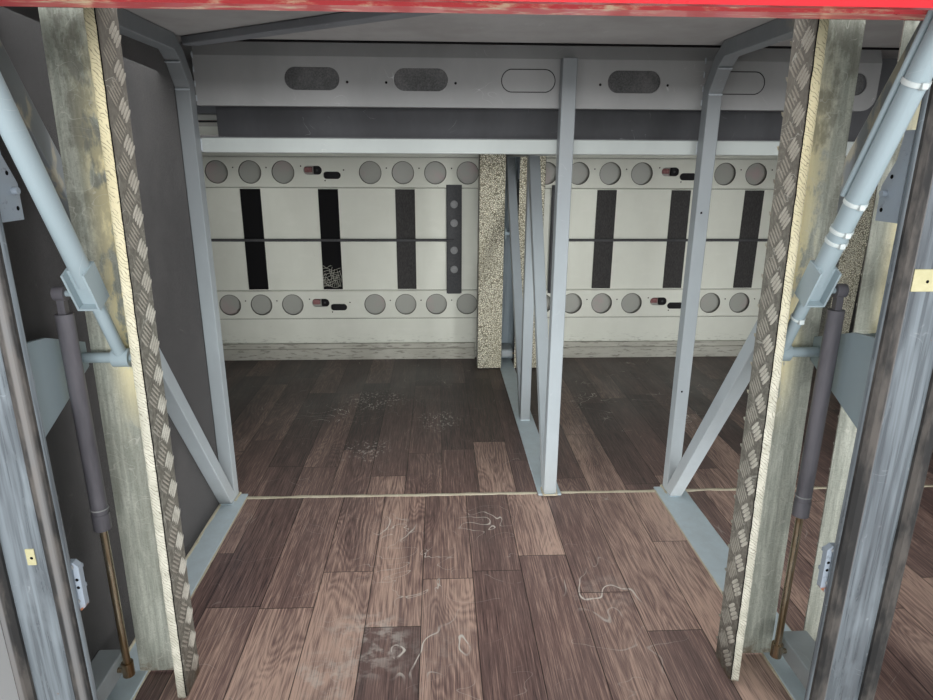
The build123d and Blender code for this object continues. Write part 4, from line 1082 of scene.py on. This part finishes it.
def striker_bolts():
    """Bolt heads and holes on the strikers, and holes in the upper stops, at each near pillar; the holes are
    flat dark discs, painted shade.
    """
    heads, holes = [], []
    shoulder_y = -(PILLAR_FLANGE_Y - 0.002)
    for i, _, s in GUARDS:
        x = near_pillars[i]
        heads += [button(x + s * 0.06, shoulder_y - 0.0115, floor_z + h, 0.005, 0.0022) for h in BOLT_HEIGHTS]
        holes += [button(x + s * 0.066, shoulder_y - 0.0113, floor_z + h, 0.003, 0.0004)
                  for h in STRIKER_HOLE_HEIGHTS]
        holes += [button(x + s * 0.0541, depth - STOP_FACE_Y, floor_z + h, 0.0034, 0.0004, (s, 0, 0))
                  for depth, h in ((0.018, 1.02), (0.028, 0.97))]
    piece("striker_bolts", heads, BOSS)
    piece("fitting_holes", holes, DARK)


def ties():
    """Plastic ties with their heads, round the right-hand arm of the first near flap."""
    x = near_pillars[1] - 0.1
    foot, head = (np.array([x, *PINS[joint + "_near_1"][1:]]) for joint in ("lift", "flap_hinge"))
    axis = unit(head - foot)
    shapes = []
    for along, radius, wide in TIES:
        centre = foot + axis * along
        inner = radius - 0.002
        profile = [(inner, -wide), (radius, -wide), (radius + 0.0004, 0), (radius, wide), (inner, wide)]
        knot = centre - np.cross(axis, ALONG) * radius
        shapes.append(hoop(profile, centre, axis, count=32))
        shapes.append(rounded_box(knot - 0.0045, knot + 0.0045, radius=0.0012))
    piece("arm_ties", shapes, TIE, "arms_near_1")


def net_patch():
    """A torn strip of pale netting on one padding strip: wavy threads across each other, with ragged ends."""
    low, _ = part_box("flap_far_1_strips")
    rng = np.random.default_rng(RANDOM + 2)
    face = low[1] - 0.0006
    x0, z0 = CLOSED[0][1] - 0.05, low[2] + 0.015
    width, height = 0.096, 0.105
    t = np.linspace(0, 1, 12)
    paths = []
    for k in range(9):
        x = x0 + 0.002 + t * width * rng.uniform(0.45, 1.0)
        z = z0 + k / 8 * height + 0.006 * np.sin(t * 7 + k)
        paths.append((x, face - 0.0006 * np.abs(np.sin(t * 9 + k)), z))
    for k in range(11):
        x = x0 + 0.004 + k / 10 * (width - 0.006) + 0.004 * np.sin(t * 8 + k)
        paths.append((x, np.full_like(t, face - 0.0009), z0 + t * height * rng.uniform(0.4, 1.0)))
    shapes = [carried(np.stack(path, -1), ring_profile(0.0009, 5), up=OUT) for path in paths]
    piece("net_patch", shapes, NET, "flap_far_1")


def strut_rings():
    """A thin light ring at each strut's gland."""
    profile = [(0.0136, -0.0012), (0.0149, -0.0012), (0.0152, 0.0), (0.0149, 0.0012), (0.0136, 0.0012)]
    for key in KEYS:
        low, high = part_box("cylinders_" + key)
        shapes = [hoop(profile, (x, PINS["strut_pin_" + key][1], low[2] + 0.042), UP, count=32)
                  for x in (low[0] + 0.0155, high[0] - 0.0155)]
        piece("strut_rings_" + key, shapes, BOSS, "cylinders_" + key)


def pillar_crowns():
    """Crowned strip up each near pillar between its seals: height 1 - v^4 across, straight along Z."""
    v = np.linspace(-1, 1, 11)
    half = SEAL_IN - 0.002
    crown = np.stack([v * half, 0.003 * (1 - v ** 4)], -1)
    profile = np.concatenate([crown, [[half, -0.001], [-half, -0.001]]])
    heights = np.linspace(pillar_low[2] + 0.002, pillar_high[2] - 0.03, 24)
    shapes = [carried([(x, pillar_low[1], z) for z in heights], profile, up=OUT) for x in near_pillars]
    piece("pillar_crowns", shapes, PILLAR, smooth=50)


def oblong(half, low, high):
    """A flat section, half as wide as given either way."""
    return [(-half, high), (half, high), (half, low), (-half, low)]


def gap_lines():
    """Dark lines: a joint over the header beam under the ceiling, and painted shade along both rails of the
    closed flaps.
    """
    left, right = near_planes[0] + TUBE / 2, near_planes[2] - TUBE / 2
    ends = [(x, beam_high[1] - 0.052, ceiling_z - 0.0016) for x in (left, right)]
    piece("gap_lines", [carried(ends, oblong(0.01, -0.0014, 0.0014))], DARK)
    half = far_bay / 2 - 0.082
    # Painted shade: dark lines under the edges of the closed flaps' rails.
    lines = ((0.3765, FIELD_FACE_Y), (0.9035, FIELD_FACE_Y), (0.2215, BAND_FACE_Y), (1.0565, BAND_FACE_Y))
    for key, middle in CLOSED:
        shapes = [carried([(middle - half, y, floor_z + h), (middle + half, y, floor_z + h)],
                          oblong(0.0012, -0.001, 0.0004)) for h, y in lines]
        piece("rail_shade_lines_" + key, shapes, DARK, "flap_" + key)


def top_seals():
    """Rubber strip under the far cant panel, over each closed flap: an oblong section with soft edges."""
    section = [(-0.0055, -0.0065), (0.0055, -0.0065), (0.0065, 0.0), (0.0055, 0.006), (-0.0055, 0.006),
               (-0.0065, 0.0)]
    shapes = []
    for key, middle in CLOSED:
        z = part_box("flap_%s_skin" % key)[1][2] + 0.0062
        shapes.append(carried([(middle + s * far_bay / 2, SEAL_FACE_Y, z) for s in (-1, 1)], section))
    piece("top_seals", shapes, BLACK)


# Stage, light and camera

def hung(data, right, back, at):
    """A lamp or a camera in its place, by its own right and the direction back from what it looks at."""
    obj = bpy.data.objects.new(data.name, data)
    bpy.context.scene.collection.objects.link(obj)
    obj.matrix_world = Matrix(np.column_stack([right, np.cross(back, right), back]).tolist()).to_4x4()
    obj.matrix_world.translation = at
    return obj


def stage():
    """A pale floor, and a sky that only the eye and reflections see at full strength."""
    mesh = bpy.data.meshes.new("stage_floor")
    mesh.from_pydata([(-9, -9, 0), (9, -9, 0), (9, 9, 0), (-9, 9, 0)], [], [(0, 1, 2, 3)])
    ground = bpy.data.objects.new("stage_floor", mesh)
    bpy.context.scene.collection.objects.link(ground)
    s = Finish("stage_floor")
    s.start(s.noise(s.place, 1.5), (222, 222, 220), (230, 230, 228))
    mesh.materials.append(s.done(0.7))
    world = bpy.data.worlds.new("sky")
    bpy.context.scene.world = world
    world.use_nodes = True
    world.node_tree.nodes.clear()
    s = Shading(world.node_tree)
    rays = s.add("LightPath", {}).node.outputs
    shown = s.highest(rays["Is Camera Ray"], s.highest(rays["Is Glossy Ray"], rays["Is Transmission Ray"]))
    light = s.add("Background", {"Color": seen((236, 240, 245)), "Strength": SKY})
    backdrop = s.add("Background", {"Color": seen((238, 239, 240)), "Strength": 1.0})
    surface = s.tree.nodes.new("ShaderNodeOutputWorld").inputs["Surface"]
    s.feed(surface, s.add("MixShader", {0: shown, 1: light, 2: backdrop}))


def lights():
    """Soft low suns and soft lamps, none of them seen."""
    lamps = []
    for name, power, spread, source in SUNS:
        lamp = bpy.data.lights.new(name, "SUN")
        lamp.energy, lamp.angle = power, math.radians(spread)
        lamps.append((lamp, source, (0.0, 0.0, 0.0)))
    for name, at, towards, wide, high, power in LAMPS:
        lamp = bpy.data.lights.new(name, "AREA")
        lamp.shape, lamp.size, lamp.size_y, lamp.energy = "RECTANGLE", wide, high, power
        lamps.append((lamp, at, towards))
    for lamp, at, towards in lamps:
        back = unit(np.subtract(at, towards))
        steep = abs(back[2]) > 0.99
        obj = hung(lamp, unit(np.cross((0.001, 1, 0) if steep else UP, back)), back, at)
        obj.visible_camera = False
        obj.visible_glossy = False


def camera():
    """The photograph's view, from just outside the near side at standing height."""
    lens = bpy.data.cameras.new("camera")
    lens.lens, lens.sensor_width, lens.sensor_fit = 24.5, 36.0, "HORIZONTAL"
    lens.clip_start = 0.02
    right = np.array([0.99902473, -0.04386805, 0.00501774])
    back = np.array([-0.04347238, -0.95733605, 0.28568837])
    bpy.context.scene.camera = hung(lens, right, back, (-0.356, -2.128, 1.18))


dress()
guard_chequer()
guard_lips()
sealant()
welds()
drill_marks()
blank_outlines()
hole_rims()
flap_locks()
latch_rings()
beam_lining()
pillar_crowns()
pillar_tags()
striker_bolts()
ties()
net_patch()
strut_rings()
gap_lines()
top_seals()
stage()
lights()
camera()
bpy.context.scene.view_settings.view_transform = "Standard"

bpy.context.view_layer.update()
